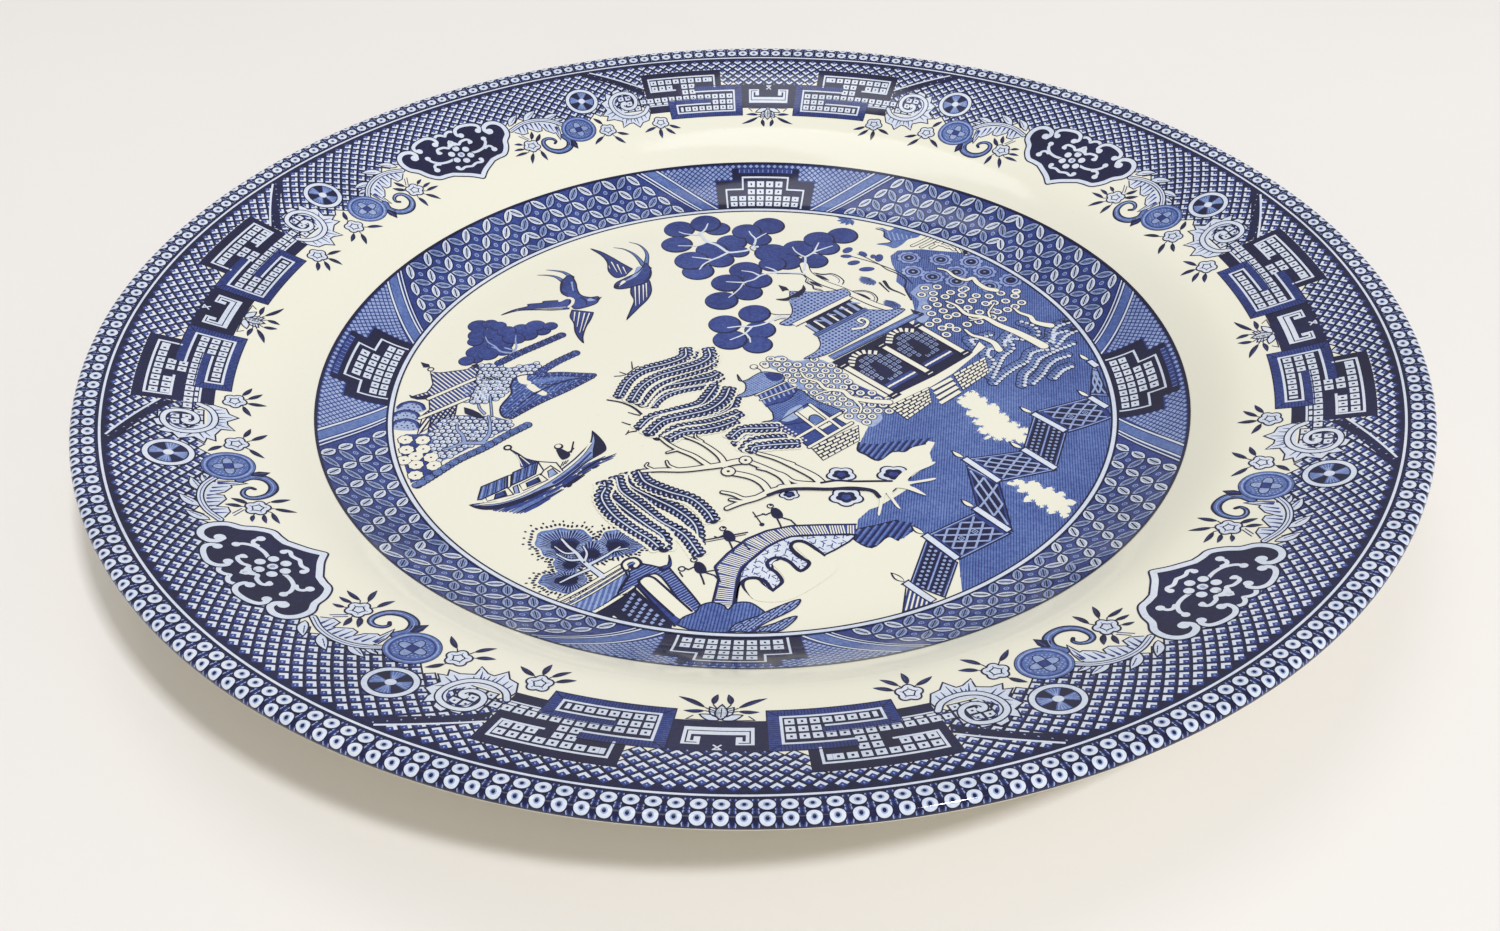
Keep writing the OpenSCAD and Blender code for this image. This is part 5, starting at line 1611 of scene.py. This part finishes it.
for a, b in (((84, 48), (166, 150)), ((48, 88), (128, 186)), ((52, 196), (166, 84)), ((84, 236), (196, 128))):
    ribbon(15, Q(6, [a, b]), .62, edge=.24)
for k in range(8):
    D("white", 14, *Q(6, [(2 + 9 * k, 150 + 9 * k)])[0], .26, 8)
    D("white", 14, *Q(6, [(12 + 9 * k, 144 + 9 * k)])[0], .26, 8)
bricks(14, (86, 236), (214, 136), (216, 204), (120, 292), 5, 6, 6)


# ---------------------------------------------------------------- materials
def srgb(r, g, b):
    def f(c):
        c /= 255.0
        return c / 12.92 if c <= 0.04045 else ((c + 0.055) / 1.055) ** 2.4
    return (f(r), f(g), f(b), 1.0)


def new_mat(name):
    m = bpy.data.materials.new(name)
    m.use_nodes = True
    nt = m.node_tree
    nt.nodes.clear()
    out = nt.nodes.new("ShaderNodeOutputMaterial")
    bs_ = nt.nodes.new("ShaderNodeBsdfPrincipled")
    nt.links.new(bs_.outputs[0], out.inputs[0])
    return m, nt, bs_


def noise(nt, co, scale, detail=2.0, rough=0.5):
    n = nt.nodes.new("ShaderNodeTexNoise")
    n.inputs["Scale"].default_value = scale
    n.inputs["Detail"].default_value = detail
    n.inputs["Roughness"].default_value = rough
    nt.links.new(co, n.inputs["Vector"])
    return n.outputs["Fac"]


def ramp(nt, fac, stops):
    r = nt.nodes.new("ShaderNodeValToRGB")
    el = r.color_ramp.elements
    while len(el) < len(stops):
        el.new(0.5)
    for e, (p, c) in zip(el, stops):
        e.position = p
        e.color = c
    nt.links.new(fac, r.inputs[0])
    return r.outputs[0]


def math_node(nt, op, a, b):
    n = nt.nodes.new("ShaderNodeMath")
    n.operation = op
    for i, v in enumerate((a, b)):
        if isinstance(v, (int, float)):
            n.inputs[i].default_value = v
        else:
            nt.links.new(v, n.inputs[i])
    return n.outputs[0]


def glaze_waves(nt, bs_, co, amount):
    """The slow waves of a fired glaze, which wobble its reflections."""
    a = noise(nt, co, 62.0, 1.5)
    b = noise(nt, co, 240.0, 1.0)
    s = math_node(nt, "ADD", a, math_node(nt, "MULTIPLY", b, 0.22))
    bump = nt.nodes.new("ShaderNodeBump")
    bump.inputs["Strength"].default_value = amount
    bump.inputs["Distance"].default_value = 0.0006
    nt.links.new(s, bump.inputs["Height"])
    nt.links.new(bump.outputs[0], bs_.inputs["Normal"])


def glaze_material(name, base, warm, speck):
    m, nt, bs_ = new_mat(name)
    co = nt.nodes.new("ShaderNodeTexCoord").outputs["Object"]
    v = noise(nt, co, 9.0, 3.0)
    c1 = ramp(nt, v, [(0.3, base), (0.75, warm)])
    f = noise(nt, co, 900.0, 2.0, 0.6)
    mask = ramp(nt, f, [(0.0, (0, 0, 0, 1)), (0.735, (0, 0, 0, 1)), (0.78, (1, 1, 1, 1))])
    mix = nt.nodes.new("ShaderNodeMix")
    mix.data_type = "RGBA"
    fac = math_node(nt, "MULTIPLY", mask, 0.35)
    nt.links.new(fac, mix.inputs["Factor"])
    nt.links.new(c1, mix.inputs["A"])
    mix.inputs["B"].default_value = speck
    nt.links.new(mix.outputs["Result"], bs_.inputs["Base Color"])
    r = noise(nt, co, 35.0, 2.0)
    nt.links.new(math_node(nt, "ADD", math_node(nt, "MULTIPLY", r, 0.05), 0.075), bs_.inputs["Roughness"])
    bs_.inputs["IOR"].default_value = 1.5
    bs_.inputs["Specular IOR Level"].default_value = 0.42
    glaze_waves(nt, bs_, co, 0.14)
    return m


def ink_material(name, c, dark, pale, deep=0.5, soft=0.075, wave=0.14):
    """Cobalt ink under the glaze: its tone breaks up into the stipple and the slow washes of a transfer print."""
    m, nt, bs_ = new_mat(name)
    co = nt.nodes.new("ShaderNodeTexCoord").outputs["Object"]
    wash = noise(nt, co, 60.0, 2.0)
    grain = noise(nt, co, 1500.0, 2.0, 0.65)
    s = math_node(nt, "ADD", math_node(nt, "MULTIPLY", wash, 1 - deep), math_node(nt, "MULTIPLY", grain, deep))
    col = ramp(nt, s, [(0.36, dark), (0.5, c), (0.66, pale)])
    nt.links.new(col, bs_.inputs["Base Color"])
    r = noise(nt, co, 35.0, 2.0)
    nt.links.new(math_node(nt, "ADD", math_node(nt, "MULTIPLY", r, 0.05), soft), bs_.inputs["Roughness"])
    bs_.inputs["IOR"].default_value = 1.5
    bs_.inputs["Specular IOR Level"].default_value = 0.42
    glaze_waves(nt, bs_, co, wave)
    return m


IVORY, IVORY2 = srgb(241, 239, 224), srgb(238, 236, 218)
M_FACE = glaze_material("glaze_face", IVORY, IVORY2, srgb(206, 200, 176))
M_BACK = glaze_material("glaze_back", srgb(238, 234, 214), srgb(235, 229, 205), srgb(190, 178, 150))
M_CLAY, nt_, b_ = new_mat("fired_clay")
co_ = nt_.nodes.new("ShaderNodeTexCoord").outputs["Object"]
g_ = noise(nt_, co_, 1400.0, 3.0, 0.7)
nt_.links.new(ramp(nt_, g_, [(0.3, srgb(196, 182, 152)), (0.5, srgb(222, 211, 184)), (0.72, srgb(236, 228, 206))]), b_.inputs["Base Color"])
b_.inputs["Roughness"].default_value = 0.85
bp_ = nt_.nodes.new("ShaderNodeBump")
bp_.inputs["Strength"].default_value = 0.5
bp_.inputs["Distance"].default_value = 0.0002
nt_.links.new(g_, bp_.inputs["Height"])
nt_.links.new(bp_.outputs[0], b_.inputs["Normal"])

TONES = {
    "navy": (srgb(20, 22, 62), srgb(15, 16, 48), srgb(30, 34, 80)),
    "blue": (srgb(44, 62, 132), srgb(32, 46, 110), srgb(64, 84, 156)),
    "mid": (srgb(88, 112, 174), srgb(66, 88, 152), srgb(114, 138, 192)),
    "light": (srgb(148, 166, 210), srgb(124, 144, 194), srgb(174, 190, 222)),
    "pale": (srgb(216, 225, 240), srgb(202, 212, 232), srgb(228, 233, 242)),
}
INK = {k: ink_material("ink_" + k, *v) for k, v in TONES.items()}
# on the lip's tight curve the key light draws one thin, even line
LIP_INK = {k: ink_material("lip_ink_" + k, *v, soft=0.03, wave=0.03) for k, v in TONES.items()}
INK["white"] = LIP_INK["white"] = glaze_material("bare_glaze", IVORY, IVORY2, srgb(206, 200, 176))


# ---------------------------------------------------------------- meshes
def mesh_object(name, co, tris, nrm, mat, body="root"):
    me = bpy.data.meshes.new(name)
    co = np.asarray(co, float) * MM
    used = np.unique(tris)
    remap = np.full(len(co), -1)
    remap[used] = np.arange(len(used))
    co, nrm, tris = co[used], np.asarray(nrm, float)[used], remap[tris]
    me.vertices.add(len(co))
    me.vertices.foreach_set("co", co.astype(np.float32).ravel())
    me.loops.add(tris.size)
    me.loops.foreach_set("vertex_index", tris.astype(np.int32).ravel())
    me.polygons.add(len(tris))
    me.polygons.foreach_set("loop_start", np.arange(0, tris.size, 3, dtype=np.int32))
    me.polygons.foreach_set("use_smooth", np.ones(len(tris), bool))
    me.update(calc_edges=True)
    uv = me.uv_layers.new(name="OFBake")
    q = co[tris.ravel()][:, :2] / (2 * (R_OUT + 1) * MM) + 0.5
    uv.data.foreach_set("uv", q.astype(np.float32).ravel())
    me.normals_split_custom_set_from_vertices([tuple(v) for v in nrm])
    me.materials.append(mat)
    ob = bpy.data.objects.new(name, me)
    bpy.context.scene.collection.objects.link(ob)
    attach(ob, body)
    return ob


def lathe(name, prof, nrm, mat, seg=480):
    """Turns a section about the axis; a point on the axis becomes one pole."""
    a = np.linspace(0, 2 * pi, seg, endpoint=False)
    co, no, ring = [], [], []
    for (r, z), (nr, nz) in zip(prof, nrm):
        k = sum(len(c) for c in co)
        if r < 1e-9:
            co.append(np.array([[0, 0, z]]))
            no.append(np.array([[0, 0, 1.0 if nz > 0 else -1.0]]))
            ring.append(np.full(seg, k))
        else:
            co.append(np.c_[r * np.cos(a), r * np.sin(a), np.full(seg, z)])
            no.append(np.c_[nr * np.cos(a), nr * np.sin(a), np.full(seg, nz)])
            ring.append(k + np.arange(seg))
    co, no = np.vstack(co), np.vstack(no)
    tris = []
    for u, v in zip(ring[:-1], ring[1:]):
        u2, v2 = np.roll(u, -1), np.roll(v, -1)
        if u[0] == u[1]:
            tris.append(np.c_[u, v, v2])
        elif v[0] == v[1]:
            tris.append(np.c_[u, v, u2])
        else:
            tris.append(np.vstack([np.c_[u, v, v2], np.c_[u, v2, u2]]))
    tris = np.vstack(tris)
    # face the triangles along the normals
    A, B, C = co[tris[:, 0]], co[tris[:, 1]], co[tris[:, 2]]
    g = np.cross(B - A, C - A)
    flip = (g * no[tris[:, 0]]).sum(1) < 0
    tris[flip] = tris[flip][:, ::-1]
    ob = mesh_object(name, co, tris, no, mat)
    return ob


def norm2(nr, nz):
    m = np.hypot(nr, nz)
    return np.c_[nr / m, nz / m]


rr = np.r_[0, 12, 24, 36, 48, 58, 64, np.arange(66, 100, 0.5), np.arange(100, LT[0] - 0.4, 1.0), LT[0]]
zz, ss = hermite(FACE, rr)
aa = np.radians(np.linspace(TOP_A, 0, 30))[1:]
prof = np.vstack([np.c_[rr, zz], np.c_[LCR + LIP * np.cos(aa), LCZ + LIP * np.sin(aa)]])
nrm = np.vstack([norm2(-ss, np.ones_like(ss)), np.c_[np.cos(aa), np.sin(aa)]])
face_ob = lathe("glaze_on_face", prof, nrm, M_FACE)
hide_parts("face_glaze")

rb_ = np.r_[np.arange(77.3, 104, 0.6), np.arange(104, LB[0] - 0.3, 1.5), LB[0]]
zb, sb = hermite(BACK, rb_)
ab = np.radians(np.linspace(BACK_A, 0, 22))[1:]
prof = np.vstack([[(76.12, 0.24), (76.42, 0.30), (76.85, 0.62)], np.c_[rb_, zb], np.c_[LCR + LIP * np.cos(ab), LCZ + LIP * np.sin(ab)]])
nrm = np.vstack([norm2(np.array([.35, .62, .68]), np.array([-.94, -.78, -.73])), norm2(sb, -np.ones_like(sb)), np.c_[np.cos(ab), np.sin(ab)]])
back_ob = lathe("glaze_on_back", prof, nrm, M_BACK)
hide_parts("back_glaze")

prof = [(0, 1.6), (30, 1.6), (60, 1.6), (72.0, 1.6), (72.5, 1.58), (72.9, 1.48), (73.1, 1.32), (73.22, 1.0), (73.34, 0.6), (73.5, 0.3), (73.72, 0.24)]
nrm = [(0, -1), (0, -1), (0, -1), (-.02, -1), (-.25, -.97), (-.6, -.8), (-.85, -.5), (-.97, -.2), (-.96, -.25), (-.7, -.7), (-.3, -.95)]
base_ob = lathe("glaze_on_base", prof, nrm, M_BACK)
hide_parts("base_glaze")

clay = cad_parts["biscuit_body"]
clay = clay["object"] if isinstance(clay, dict) else clay
clay = bpy.data.objects[clay] if isinstance(clay, str) else clay
for s_ in clay.material_slots:
    s_.material = M_CLAY
if not clay.material_slots:
    clay.data.materials.append(M_CLAY)

LIMIT = 180000
for zone, art, node, slot in (("bead_ring", edge, "edge_band_print", "edge_print"), ("rim_border", rim, "rim_border_print", "rim_print"),
                              ("well_band", band, "well_border_print", "well_print"), ("landscape", centre, "centre_scene_print", "scene_print")):
    for tone, v, f in art.merged():
        parts = max(1, math.ceil(len(f) / LIMIT))
        for k in range(parts):
            sub = f[k * len(f) // parts:(k + 1) * len(f) // parts]
            co, no = lift(v[:, :2], v[:, 2])
            ob = mesh_object("%s_%s%s" % (zone, tone, "" if parts == 1 else "_%d" % (k + 1)), co, sub, no, (LIP_INK if art is edge else INK)[tone])
            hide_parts(node)

# ---------------------------------------------------------------- floor, light, camera
fl_m, nt_, b_ = new_mat("floor_paper")
co_ = nt_.nodes.new("ShaderNodeTexCoord").outputs["Object"]
v_ = noise(nt_, co_, 5.0, 4.0)
nt_.links.new(ramp(nt_, v_, [(0.3, srgb(238, 235, 232)), (0.7, srgb(241, 238, 235))]), b_.inputs["Base Color"])
b_.inputs["Roughness"].default_value = 0.75
bpy.ops.mesh.primitive_plane_add(size=6.0, location=(0, 0, -0.0002))
floor = bpy.context.object
floor.name = "floor"
floor.data.materials.append(fl_m)

world = bpy.data.worlds.new("room") if not bpy.context.scene.world else bpy.context.scene.world
bpy.context.scene.world = world
world.use_nodes = True
bg = world.node_tree.nodes.get("Background") or world.node_tree.nodes.new("ShaderNodeBackground")
bg.inputs["Color"].default_value = (1.0, 0.974, 0.938, 1.0)
bg.inputs["Strength"].default_value = 0.52


def area(name, loc, target, size, power, color=(1, 1, 1), sy=None):
    d = bpy.data.lights.new(name, "AREA")
    d.energy = power
    d.color = color
    d.size = size
    if sy:
        d.shape = "RECTANGLE"
        d.size_y = sy
    ob = bpy.data.objects.new(name, d)
    bpy.context.scene.collection.objects.link(ob)
    ob.location = loc
    ob.rotation_euler = (Vector(target) - Vector(loc)).to_track_quat("-Z", "Y").to_euler()
    return ob


area("key_light", (1.065, -1.25, 2.51), (0, 0, 0), 0.26, 45.0, (0.985, 0.992, 1.02))
area("sky_light", (-0.35, 0.75, 2.6), (0, 0, 0), 1.1, 8.5, (0.97, 0.985, 1.0))

cam_d = bpy.data.cameras.new("camera")
cam_d.sensor_width = 36.0
cam_d.lens = 33.290
cam_d.clip_start = 0.01
cam = bpy.data.objects.new("camera", cam_d)
bpy.context.scene.collection.objects.link(cam)
right = Vector((0.999029, 0.042806, -0.010457))
down = Vector((0.018519, -0.623199, -0.781844))
fwd = Vector((-0.039984, 0.780891, -0.623386))
M = Matrix((right, -down, -fwd)).transposed().to_4x4()
M.translation = Vector((0.011777, -0.241701, 0.175247))
cam.matrix_world = M
bpy.context.scene.camera = cam
bpy.context.scene.view_settings.view_transform = "Standard"
